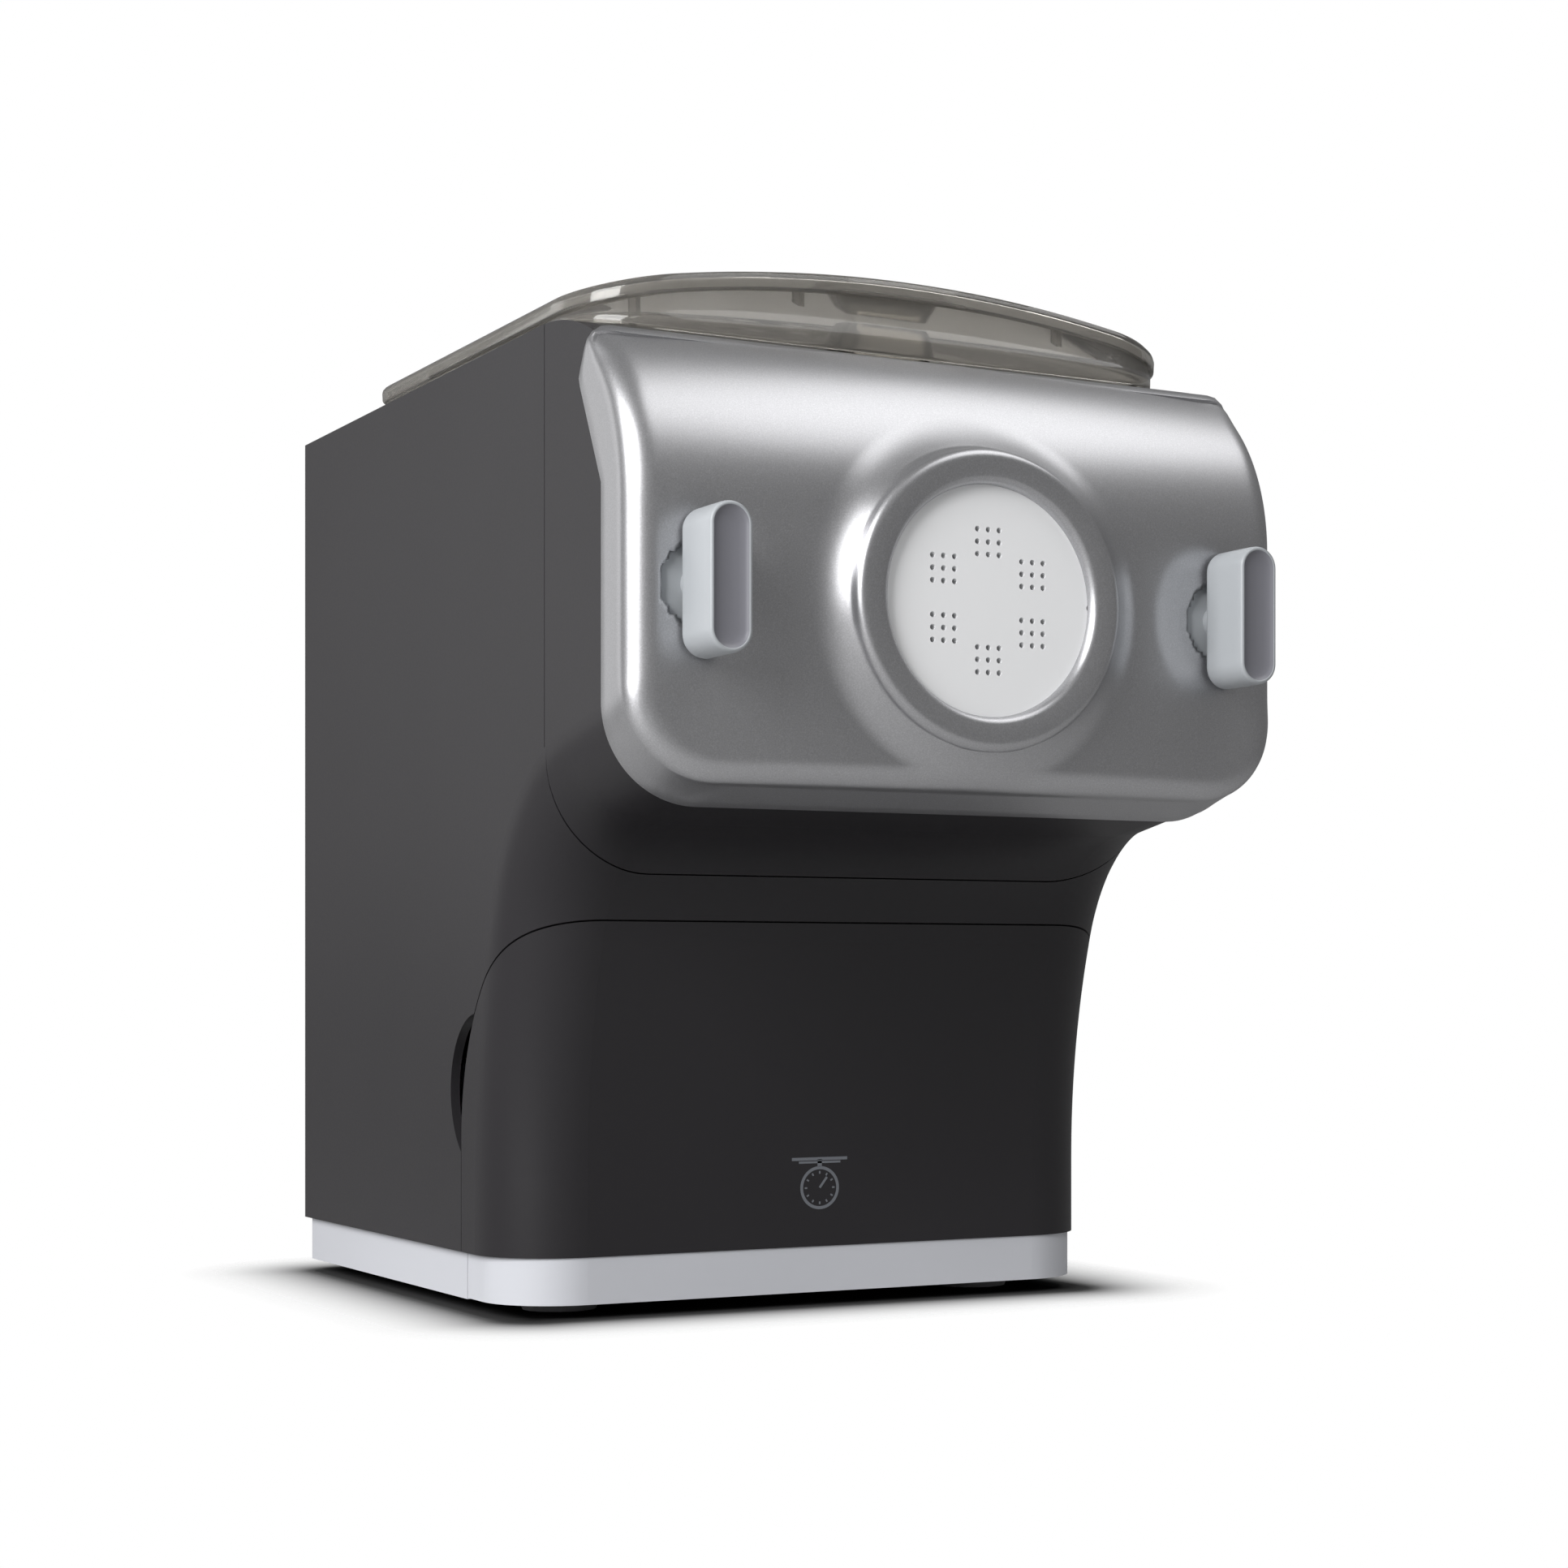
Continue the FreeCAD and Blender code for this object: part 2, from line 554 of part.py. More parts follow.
def make_drawer():
    gap = size("seam_gap")
    inner = FORM.copy()
    inner.translate(Vector(0, WALL + 0.4, 0))
    limit = solid_box((-HALF + WALL, HALF - WALL), (-200, 100), (size("shell_bottom") + WALL, size("drawer_top") - WALL))
    front = FORM.common(drawer_region(gap)).cut(inner.common(limit))
    shaped("drawer_front", front.removeSplitter())
    strip_half = "half_width - base_inset"
    strip = block("strip_blank", ("-(%s)" % strip_half, strip_half), ("foot_front + 0.4", "drawer_seam - seam_gap / 2"),
                  ("base_bottom + 0.4", "shell_bottom"))
    soft = rounded("strip_soft", strip, 25.0, front_upright)
    room = block("strip_room", ("-(%s) + base_wall" % strip_half, strip_half + " - base_wall"),
                 ("foot_front + 0.4 + base_wall", "0"), ("0", "shell_bottom - wall"))
    hollow = rounded("strip_hollow", room, 25.0 - size("base_wall"), front_upright)
    cut("drawer_base_strip", soft, [hollow])
    box = block("drawer_box", ("-(half_width - tray_side)", "(half_width - tray_side)"),
                ("foot_front + wall + 3", "tray_rear"), ("tray_bottom", "tray_top"))
    tray = rounded("drawer_box_soft", box, 20.0, lambda p, e: p.y < size("foot_front") + WALL + 4
                   and abs(e.Vertexes[0].Point.z - e.Vertexes[-1].Point.z) > 5)
    pocket = block("drawer_pocket", ("-(half_width - tray_side) + tray_wall", "(half_width - tray_side) - tray_wall"),
                   ("foot_front + wall + 3 + tray_wall", "tray_rear - tray_wall"),
                   ("tray_bottom + tray_wall", "tray_top + 10"))
    ledges = [block("ledge", ("(half_width - tray_side)", "(half_width - tray_side) + 5"), ("10", "tray_rear"),
                    ("ledge_height", "ledge_height + 3")),
              block("ledge", ("-(half_width - tray_side) - 5", "-(half_width - tray_side)"), ("10", "tray_rear"),
                    ("ledge_height", "ledge_height + 3"))]
    join("drawer_tray", [cut("drawer_cup", tray, [pocket])] + ledges)
    rails = []
    for side in ("-", ""):
        low, high = ("(half_width - tray_side) + 2", "half_width - wall")
        span = (low, high) if side == "" else ("-(%s)" % high, "-(%s)" % low)
        rails.append(block("rail", span, ("10", "tray_rear + 10"),
                           ("ledge_height - fit_gap - 4", "ledge_height - fit_gap")))
    group("drawer_rails", rails)
    spare = []
    for number in range(3):
        x = "(%d) * (2 * disc_radius + 6) * 0.82" % (number - 1)
        spare.append(rod("spare", "Z", x, "40", ("tray_bottom + tray_wall", "tray_bottom + tray_wall + 9"),
                         "disc_radius * 0.8"))
    group("spare_discs", spare)


def make_lid():
    half, top, edge = size("lid_half_width"), size("lid_top"), size("lid_edge_height")
    lid_wall, foot = size("lid_wall"), size("deck_top") - 3 * WALL

    def arch(inset):
        spots = [(-half + inset, foot), (-half + inset, edge - inset), (0, top - inset),
                 (half - inset, edge - inset), (half - inset, foot)]
        v = [Vector(x, size("lid_front") + inset, z) for x, z in spots]
        edges = [Part.makeLine(v[0], v[1]), Part.Arc(v[1], v[2], v[3]).toShape(), Part.makeLine(v[3], v[4]),
                 Part.makeLine(v[4], v[0])]
        solid = extruded(edges, Vector(0, size("lid_rear") - size("lid_front") - 2 * inset, 0), Vector())
        for y, radius in ((size("lid_front") + inset, size("lid_front_corner") - inset),
                          (size("lid_rear") - inset, size("lid_rear_corner") - inset)):
            picked = [e for e in solid.Edges if all(abs(v.Point.y - y) < 0.001 for v in e.Vertexes)
                      and abs(e.Vertexes[0].Point.x - e.Vertexes[-1].Point.x) < 0.001]
            solid = solid.makeFillet(radius, picked)
        return solid

    deck = FORM.copy()
    deck.translate(Vector(0, 0, size("fit_gap")))
    outer = arch(0).cut(deck)
    shell = outer.cut(arch(lid_wall))
    for place in (-64, 64):
        rib = solid_box((place - 1, place + 1), (size("lid_front") + 1, 20), (size("deck_top") + 4, top + 3))
        shell = shell.fuse(rib.common(outer))
    slot, lip = size("slot_place"), size("slot_lip") / 2
    shell = shell.cut(solid_box((slot - size("slot_half") + lip, slot + size("slot_half") - lip),
                                (size("slot_front") + lip, size("slot_rear") - lip), (size("deck_top"), top + 10)))
    pivot_y, pivot_z = size("lid_pivot_y"), size("lid_pivot_height")
    place, lug = size("lug_place"), size("lug_width") / 2 + size("fit_gap")
    ear = 7
    for side in (-1, 1):
        shell = shell.cut(solid_box((side * place - lug, side * place + lug), (pivot_y - 6, 100), (300, 312)))
        for start in (side * place - lug - ear, side * place + lug):
            knuckle = Part.makeCylinder(4.2, ear, Vector(start, pivot_y, pivot_z), Vector(1, 0, 0))
            shell = shell.fuse(knuckle)
    for side in (-1, 1):
        start = side * place - lug - ear - 1
        bore = Part.makeCylinder(size("lid_pin_radius"), 2 * (lug + ear) + 2, Vector(start, pivot_y, pivot_z), Vector(1, 0, 0))
        shell = shell.cut(bore)
    shaped("lid", shell)
    pins, lugs = [], []
    for side in ("-", ""):
        x = side + "lug_place"
        pins.append(rod("pin", "X", "lid_pivot_y", "lid_pivot_height",
                        (x + " - lug_width / 2 - fit_gap - 7", x + " + lug_width / 2 + fit_gap + 7"), "lid_pin_radius"))
        span = (x + " - lug_width / 2", x + " + lug_width / 2")
        solid = join("lug_solid", [
            rod("lug_round", "X", "lid_pivot_y", "lid_pivot_height", span, "lug_radius"),
            block("lug_stem", span, ("lid_pivot_y - 3", "lid_pivot_y + 3"), ("deck_top", "lid_pivot_height"))])
        lugs.append(cut("lug", solid, [rod("lug_bore", "X", "lid_pivot_y", "lid_pivot_height",
                                           (span[0] + " - 1", span[1] + " + 1"), "lid_pin_radius + running_gap")]))
    group("lid_pins", pins)
    group("lid_lugs", lugs)
    plate = block("slot_plate", ("slot_place - slot_half", "slot_place + slot_half"), ("slot_front", "slot_rear"),
                  ("lid_top - 8", "lid_top - 4.5"))
    hole = block("slot_hole", ("slot_place - slot_half + slot_lip", "slot_place + slot_half - slot_lip"),
                 ("slot_front + slot_lip", "slot_rear - slot_lip"), ("deck_top", "lid_top"))
    cut("water_slot", plate, [hole])


def make_chamber():
    """Trough round the paddle: a half circle below, sides that lean out to the deck's mouth."""
    def trough(inset, front, rear, top):
        radius = size("chamber_radius") + inset
        mouth = size("chamber_half_mouth") - size("chamber_wall") + inset
        spots = [(-mouth, top), (-radius, AXIS), (0, AXIS - radius), (radius, AXIS), (mouth, top)]
        v = [Vector(x, front, z) for x, z in spots]
        edges = [Part.makeLine(v[0], v[1]), Part.Arc(v[1], v[2], v[3]).toShape(), Part.makeLine(v[3], v[4]),
                 Part.makeLine(v[4], v[0])]
        return extruded(edges, Vector(0, rear - front, 0), Vector())
    thick = size("chamber_wall")
    outer = trough(thick, size("chamber_front"), size("chamber_rear") + thick, size("chamber_top"))
    inner = trough(0, size("chamber_front") + thick, size("chamber_rear"), size("chamber_top") + 5)
    chamber = outer.cut(inner)
    chamber = chamber.cut(cylinder_y(0, AXIS, size("tube_bore"), -150, 0))
    chamber = chamber.cut(cylinder_y(0, AXIS, size("shaft_radius") + 5, 0, 100))
    shaped("mixing_chamber", chamber)
    turned("shaft_seal", [("shaft_radius + running_gap", "chamber_rear"), ("shaft_radius + 5", "chamber_rear"),
                          ("shaft_radius + 5", "chamber_rear + chamber_wall + 1"),
                          ("shaft_radius + running_gap", "chamber_rear + chamber_wall + 1")])
    saddles = []
    for y in ("chamber_front + 46", "chamber_rear - 20"):
        base = block("saddle_bar", ("-half_width + wall", "half_width - wall"), (y + " - 4", y + " + 4"),
                     ("axis_height - chamber_radius - 14", "axis_height - chamber_radius + 10"))
        hollow = rod("saddle_hollow", "Y", "0", "axis_height", (y + " - 5", y + " + 5"), "chamber_radius + chamber_wall")
        saddles.append(cut("saddle", base, [hollow]))
    group("chamber_saddles", saddles)


def make_gear(name, teeth, module, x, z, phase, low, high, bore):
    """A spur gear by its pitch circle: short straight-flanked teeth with backlash."""
    pitch = module * teeth / 2
    root, tip = pitch - 1.15 * module, pitch + 0.75 * module
    outline = []
    for number in range(teeth):
        middle = phase + 2 * math.pi * number / teeth
        step = 2 * math.pi / teeth
        for radius, offset in ((root, -0.30), (pitch, -0.215), (tip, -0.11), (tip, 0.11), (pitch, 0.215), (root, 0.30)):
            angle = middle + offset * step
            outline.append(Vector(x + radius * math.sin(angle), low, z + radius * math.cos(angle)))
    wire = Part.makePolygon(outline + outline[:1])
    solid = Part.Face(wire).extrude(Vector(0, high - low, 0))
    return solid.cut(cylinder_y(x, z, bore, low - 1, high + 1))


def module(alias):
    """A gear's module, which grows with the distance between the drive shaft and the motor."""
    return size(alias) * (AXIS - size("motor_height")) / size("gear_span")


def idler_place():
    """Where the idler's axis lies, from the two centre distances."""
    lower = module("pinion_module") * (size("pinion_teeth") + size("idler_teeth_large")) / 2
    upper = module("output_module") * (size("output_teeth") + size("idler_teeth_small")) / 2
    span = AXIS - size("motor_height")
    rise = (lower ** 2 - upper ** 2 + span ** 2) / (2 * span)
    return math.sqrt(lower ** 2 - rise ** 2), size("motor_height") + rise


def make_drive():
    idler_x, idler_z = idler_place()
    motor_z = size("motor_height")
    front, width = size("gearbox_front"), size("gear_width")
    first = front + WALL + 2
    second = first + width + 3
    rear = front + size("gearbox_depth")
    shaft_gap = size("shaft_radius") + size("running_gap")
    to_idler = math.atan2(idler_x, idler_z - AXIS)
    teeth = int(size("idler_teeth_small"))
    shaped("output_gear", make_gear("output", int(size("output_teeth")), module("output_module"), 0, AXIS, to_idler,
                                    first, first + width, size("shaft_radius")))
    small = make_gear("small", teeth, module("output_module"), idler_x, idler_z, to_idler + math.pi + math.pi / teeth,
                      first, first + width, 4)
    to_motor = math.atan2(-idler_x, motor_z - idler_z)
    large = make_gear("large", int(size("idler_teeth_large")), module("pinion_module"), idler_x, idler_z, to_motor,
                      second, second + width, 4)
    shaped("idler_gear_small", small)
    shaped("idler_gear_large", large)
    count = int(size("pinion_teeth"))
    shaped("motor_pinion", make_gear("pinion", count, module("pinion_module"), 0, motor_z,
                                     to_motor + math.pi + math.pi / count, second, second + width, 4))
    shaped("idler_arbor", cylinder_y(idler_x, idler_z, 4, front + 0.5, rear + WALL - 0.5))
    motor_end = rear + WALL + size("motor_length")
    shaped("motor_shaft", cylinder_y(0, motor_z, 4, second - 1, motor_end + 8))
    shaped("drive_shaft", cylinder_y(0, AXIS, size("shaft_radius"), -60, rear + WALL - 0.5))
    growth = (AXIS - motor_z) / size("gear_span")
    wide = size("gearbox_half_width") * growth
    low, high = motor_z - 24 * growth, AXIS + wide
    case = solid_box((-wide, wide), (front, rear), (low, high)).cut(
        solid_box((-wide + WALL, wide - WALL), (front + WALL, rear + 1), (low + WALL, high - WALL)))
    cover = solid_box((-wide, wide), (rear, rear + WALL), (low, high))
    for piece, name in ((case, "gearbox_case"), (cover, "gearbox_cover")):
        piece = piece.cut(cylinder_y(0, AXIS, shaft_gap + (3 if name == "gearbox_case" else 0), 0, 200))
        piece = piece.cut(cylinder_y(idler_x, idler_z, 4 + size("running_gap"), 0, 200))
        if name == "gearbox_cover":
            piece = piece.cut(cylinder_y(0, motor_z, 15, 0, 200))
        shaped(name, piece)
    shaped("front_bearing", cylinder_y(0, AXIS, shaft_gap + 3, front, front + WALL).cut(
        cylinder_y(0, AXIS, shaft_gap, front - 1, front + WALL + 1)))
    radius, shell = size("motor_radius"), size("motor_wall")
    start = rear + WALL
    can = cylinder_y(0, motor_z, radius, start, motor_end).cut(
        cylinder_y(0, motor_z, radius - shell, start + shell, motor_end - shell))
    can = can.cut(cylinder_y(0, motor_z, 4 + size("running_gap"), 0, 300))
    shaped("motor_can", can)
    shaped("motor_magnets", cylinder_y(0, motor_z, radius - shell, start + shell + 4, motor_end - shell - 4).cut(
        cylinder_y(0, motor_z, radius - shell - 7, 0, 300)))
    shaped("motor_armature", cylinder_y(0, motor_z, radius - shell - 8, start + shell + 5, motor_end - shell - 5).cut(
        cylinder_y(0, motor_z, 4, 0, 300)))
    fan = cylinder_y(0, motor_z, 9, motor_end + 1.5, motor_end + 7)
    for number in range(8):
        blade = solid_box((-1, 1), (motor_end + 1.5, motor_end + 7), (motor_z + 6, motor_z + radius - 6))
        blade.rotate(Vector(0, 0, motor_z), Vector(0, 1, 0), 45 * number)
        fan = fan.fuse(blade)
    shaped("motor_fan", fan.cut(cylinder_y(0, motor_z, 4, 0, 300)).removeSplitter())


def make_works():
    """Paddle in the chamber and the screw that pushes the dough through the tube."""
    hub = cylinder_y(0, AXIS, 11, size("chamber_front") + 10, size("chamber_rear") - 3)
    paddle = hub
    reach = size("paddle_radius")
    for number, y in enumerate((-70, -36, -2, 32)):
        arm = solid_box((-4, 4), (y - 4, y + 4), (AXIS, AXIS + reach - 8))
        bar = solid_box((-6, 6), (y - 14, y + 14), (AXIS + reach - 9, AXIS + reach - 2))
        arm = arm.fuse(bar)
        arm.rotate(Vector(0, 0, AXIS), Vector(0, 1, 0), 90 * number + 20)
        paddle = paddle.fuse(arm)
    paddle = paddle.cut(cylinder_y(0, AXIS, size("shaft_radius"), -60, 100))
    shaped("mixing_paddle", paddle.removeSplitter())
    low, high = size("disc_front") + size("disc_thickness") + 2, size("chamber_front") + 10
    radius, core, pitch = size("screw_radius"), size("screw_core"), size("screw_pitch")
    helix = Part.makeHelix(pitch, high - low - 6, core)
    blade = Part.makePolygon([Vector(core - 1.5, 0, 0), Vector(radius, 0, 1.2), Vector(radius, 0, 3.2),
                              Vector(core - 1.5, 0, 4.4), Vector(core - 1.5, 0, 0)])
    flight = Part.Wire(helix.Edges).makePipeShell([blade], True, True)
    flight.rotate(Vector(), Vector(1, 0, 0), -90)
    flight.translate(Vector(0, low + 0.8, AXIS))
    core_rod = cylinder_y(0, AXIS, core, low, high)
    shaped("extrusion_screw", core_rod.fuse(flight).removeSplitter())


def make_controls():
    half = "half_width"
    fascia = block("fascia_blank", (half + " - wall", half + " - 0.2"), ("fascia_front", "fascia_rear"),
                   ("fascia_low", "fascia_high"))
    holes = [block("display_window", (half + " - wall - 1", half + " + 1"), ("-44", "36"), ("262", "278"))]
    for number in range(5):
        y = "(%d) * button_pitch - 4" % (number - 2)
        holes.append(rod("button_hole", "X", y, "button_height", (half + " - wall - 1", half + " + 1"),
                         "button_radius + fit_gap"))
    cut("control_fascia", fascia, holes)
    block("display_lens", (half + " - 1.8", half + " - 0.4"), ("-44", "36"), ("262", "278"))
    names = ("power_button", "program_button", "more_button", "less_button", "start_button")
    for number, name in enumerate(names):
        y = "(%d) * button_pitch - 4" % (number - 2)
        join(name, [rod(name + "_cap", "X", y, "button_height", (half + " - wall - 2", half), "button_radius"),
                    rod(name + "_skirt", "X", y, "button_height", (half + " - wall - 3.5", half + " - wall - 1"),
                        "button_radius + 1.5")])
    board = block("board_plate", (half + " - wall - 9", half + " - wall - 7.4"), ("fascia_front + 4", "fascia_rear - 4"),
                  ("fascia_low + 2", "fascia_high - 4"))
    display = block("display_glass", (half + " - wall - 7.4", half + " - wall - 1"), ("-42", "34"), ("261", "277"))
    join("control_board", [board, display])
    power = block("power_plate", ("-half_width + wall + 4", "-half_width + wall + 5.6"), ("0", "62"), ("96", "150"))
    parts = [block("part_a", ("-half_width + wall + 5.6", "-half_width + wall + 24"), ("8", "30"), ("104", "126")),
             block("part_b", ("-half_width + wall + 5.6", "-half_width + wall + 17"), ("38", "54"), ("110", "140"))]
    join("power_board", [power] + parts)
    block("lid_switch", ("60", "72"), ("chamber_rear + 6", "chamber_rear + 14"), ("deck_top - wall - 14", "deck_top - wall"))
    place = "half_width - gland_side"
    ring = rod("gland_ring", "Y", place, "gland_height", ("rear_face - 4", "rear_face - 0.3"), "8.8")
    bore = rod("gland_bore", "Y", place, "gland_height", ("rear_face - 8", "rear_face + 1"), "3.6")
    cut("cord_gland", ring, [bore])
    grille = block("grille_plate", ("-60", "60"), ("rear_face - wall - 1.6", "rear_face - wall"), ("90", "134"))
    slots = [block("grille_slot", ("%d - 54" % (8 * n), "%d - 51" % (8 * n)), ("rear_face - 9", "rear_face"),
                   ("97", "127")) for n in range(14)]
    cut("vent_grille", grille, slots)
    screws = []
    for x in (-52, 52):
        for z in ("motor_height - 18", "axis_height + 52"):
            screws.append(rod("screw", "Y", str(x), z, ("gearbox_front + gearbox_depth + wall",
                                                       "gearbox_front + gearbox_depth + wall + 2.5"), "screw_head"))
    group("gearbox_screws", screws)


SUBPARTS = """head_shell main_shell front_panel hub_ring left_knob_socket right_knob_socket left_knob left_latch
right_knob right_latch shaping_disc extrusion_tube base_tray rubber_feet load_cells drawer_front
drawer_base_strip drawer_tray drawer_rails spare_discs lid lid_pins lid_lugs water_slot mixing_chamber
shaft_seal chamber_saddles output_gear idler_gear_small idler_gear_large motor_pinion idler_arbor
motor_shaft drive_shaft gearbox_case gearbox_cover front_bearing motor_can motor_magnets motor_armature
motor_fan mixing_paddle extrusion_screw control_fascia display_lens power_button program_button
more_button less_button start_button control_board power_board lid_switch cord_gland vent_grille
gearbox_screws""".split()


def main():
    make_shells()
    make_panel()
    make_panel_trim()
    make_knob("left", "-")
    make_knob("right", "")
    make_disc()
    make_base()
    make_drawer()
    make_lid()
    make_chamber()
    make_drive()
    make_works()
    make_controls()
    doc.recompute()
    faults = [item.Label for item in doc.Objects if "Invalid" in item.State or "Error" in item.State]
    if faults:
        raise RuntimeError("failed objects: %s" % faults)
    os.makedirs("parts", exist_ok=True)
    for name in SUBPARTS:
        found = doc.getObject(name)
        found.Label = name
        shape = found.Shape
        if shape.isNull() or not shape.isValid() or not shape.Solids:
            raise RuntimeError("%s has no valid solid" % name)
        shape.exportStep("parts/%s.step" % name)
        print("%-22s %2d %12.1f" % (name, len(shape.Solids), shape.Volume))


main()
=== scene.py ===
"""Looks of an electric pasta maker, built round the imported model. Metres, +Z up, front towards -Y."""
import json
import math
import bpy
import numpy as np
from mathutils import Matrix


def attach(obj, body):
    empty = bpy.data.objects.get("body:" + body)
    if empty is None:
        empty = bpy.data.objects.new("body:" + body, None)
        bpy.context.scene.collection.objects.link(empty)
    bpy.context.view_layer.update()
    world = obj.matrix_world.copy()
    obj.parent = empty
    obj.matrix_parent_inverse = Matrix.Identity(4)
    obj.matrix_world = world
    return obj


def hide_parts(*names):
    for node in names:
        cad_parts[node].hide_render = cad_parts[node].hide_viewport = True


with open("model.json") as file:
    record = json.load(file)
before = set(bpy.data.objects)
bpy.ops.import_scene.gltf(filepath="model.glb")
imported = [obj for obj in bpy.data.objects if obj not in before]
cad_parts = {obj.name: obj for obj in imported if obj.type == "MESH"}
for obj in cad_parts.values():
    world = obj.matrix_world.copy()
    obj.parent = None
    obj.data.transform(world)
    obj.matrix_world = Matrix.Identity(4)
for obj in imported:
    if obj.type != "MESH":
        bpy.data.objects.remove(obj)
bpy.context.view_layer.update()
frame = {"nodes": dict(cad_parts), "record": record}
MM = 0.001

# Camera: level, turned towards the appliance, with a long lens and a little shift
CAMERA_PLACE = (-438.85 * MM, -921.8 * MM, 105.73 * MM)
CAMERA_YAW = 30.40
CAMERA_LENS = 69.28
CAMERA_SHIFT = (-0.1527, 0.1248)

# Sizes of the real object that the new pieces need, in millimetres
HALF = 107.5
AXIS = 216.75
DECK = 300.8
# panel: flat face with a brow, ledges at the knobs, a raised hub with a flared foot, a band and a rim
FACE, FACE_HIGH, BROW_RADIUS, BROW_TOP = -146.4, 240.0, 57.4, 291.3
BOW, EDGE = 3.8, 101.0
RECESS, HUB_EDGE, HUB_FRONT, HUB_FOOT, FLARE_FOOT, FLARE_POWER = 36.2, 42.2, -154.6, -153.3, 55.5, 1.9
FIELD_LOW, FIELD_HIGH, FIELD_LOW_CORNER, FIELD_HIGH_CORNER = 168.5, 288.5, 20.0, 7.0
BAND_LOW, RIM_LOW, BAND_DEPTH, SIDE_DEPTH, SIDE_LEAST = 163.2, 157.6, -140.3, -137.0, 5.2
BAND_CORNER, RIM_CORNER, BROW_CORNER = 25.0, 27.0, 4.0
BAND_RUN, TOP_RUN = (BAND_LOW + 2, 196.0), (281.0, 290.5)
RIM_HEIGHTS, RIM_DEPTHS = (100, 247, 279, 291.3), (-124.7, -124.7, -107.8, -114.8)
PANEL_WALL = 2.2
# lid and water inlet
LID_HALF, LID_FRONT, LID_REAR, LID_EDGE, LID_TOP = 102.5, -99.0, 93.0, 307.5, 319.3
LID_FRONT_CORNER, LID_REAR_CORNER, LID_WALL = 26.0, 12.0, 2.0
CROWN_START, CROWN_RADIUS = -73.7, 96.0
SLOT_X, SLOT_Y, SLOT_HALF_X, SLOT_HALF_Y, SLOT_CORNER, FUNNEL_WALL = 11.0, -64.0, 20.0, 7.0, 3.0, 1.2
RIB_PLACES, RIB_HALF, RIB_SPAN, RIB_DROP, RIB_HEIGHT = (-86.0, -32.5, 58.5), 0.9, (3.6, 8.0), 2.6, 7.0
# knobs
KNOB_X, KNOB_HALF, KNOB_REACH, KNOB_FRONT, KNOB_DEPTH = 88.06, 6.65, 14.475, -165.6, 19.6
FLANGE_FRONT, FLANGE_BACK, FLANGE_RADIUS, NECK_RADIUS = -143.0, -139.8, 13.0, 5.5
SPIGOT, SPIGOT_BACK = 6.0, -125.9
KNOB_LEDGE, LEDGE_BLEND, LEDGE_DEPTH, KNOB_OPENING = 14.4, 27.0, -142.5, 12.2


def set_camera():
    data = bpy.data.cameras.new("camera")
    data.lens = CAMERA_LENS
    data.sensor_width = 36.0
    data.shift_x, data.shift_y = CAMERA_SHIFT
    camera = bpy.data.objects.new("camera", data)
    camera.location = CAMERA_PLACE
    camera.rotation_euler = (math.radians(90), 0, math.radians(-CAMERA_YAW))
    bpy.context.collection.objects.link(camera)
    bpy.context.scene.camera = camera


# Materials
class Recipe:
    """A node tree under one Principled shader, with short ways to add the nodes used here."""

    def __init__(self, name, **settings):
        self.material = bpy.data.materials.new(name)
        self.material.use_nodes = True
        self.tree = self.material.node_tree
        self.shader = self.tree.nodes["Principled BSDF"]
        for socket, value in settings.items():
            self.shader.inputs[socket.replace("_", " ")].default_value = value

    def node(self, kind, **settings):
        node = self.tree.nodes.new("ShaderNode" + kind)
        for key, value in settings.items():
            if hasattr(node, key):
                setattr(node, key, value)
            else:
                node.inputs[key.replace("_", " ")].default_value = value
        return node

    def link(self, output, target):
        self.tree.links.new(output, target)

    def place(self):
        return self.node("TexCoord").outputs["Object"]

    def noise(self, scale, detail=3.0, roughness=0.55, stretch=None):
        texture = self.node("TexNoise", Scale=scale, Detail=detail, Roughness=roughness)
        source = self.place()
        if stretch:
            mapping = self.node("Mapping")
            mapping.inputs["Scale"].default_value = stretch
            self.link(source, mapping.inputs["Vector"])
            source = mapping.outputs["Vector"]
        self.link(source, texture.inputs["Vector"])
        return texture.outputs["Fac"]

    def ramp(self, source, stops):
        ramp = self.node("ValToRGB")
        points = ramp.color_ramp.elements
        while len(points) < len(stops):
            points.new(0.5)
        for point, (position, colour) in zip(points, stops):
            point.position = position
            point.color = tuple(colour) + (1.0,)
        self.link(source, ramp.inputs["Fac"])
        return ramp.outputs["Color"]

    def remap(self, source, low, high, start=0.0, end=1.0):
        remap = self.node("MapRange")
        remap.inputs["From Min"].default_value = start
        remap.inputs["From Max"].default_value = end
        remap.inputs["To Min"].default_value = low
        remap.inputs["To Max"].default_value = high
        self.link(source, remap.inputs["Value"])
        return remap.outputs["Result"]

    def bump(self, source, strength, distance):
        bump = self.node("Bump")
        bump.inputs["Strength"].default_value = strength
        bump.inputs["Distance"].default_value = distance
        self.link(source, bump.inputs["Height"])
        self.link(bump.outputs["Normal"], self.shader.inputs["Normal"])


def plastic(name, colour, spread, roughness, grain=900.0, bump=0.12, **settings):
    """Moulded plastic: slow colour drift, fine spark-eroded grain, slightly uneven gloss."""
    recipe = Recipe(name, **settings)
    drift = recipe.noise(9.0, 2.0)
    dark = [c * (1 - spread) for c in colour]
    light = [min(1.0, c * (1 + spread)) for c in colour]
    recipe.link(recipe.ramp(drift, [(0.3, dark), (0.7, light)]), recipe.shader.inputs["Base Color"])
    fine = recipe.noise(grain, 4.0, 0.6)
    recipe.link(recipe.remap(fine, roughness - 0.05, roughness + 0.05), recipe.shader.inputs["Roughness"])
    recipe.bump(fine, bump, 0.0001)
    return recipe.material


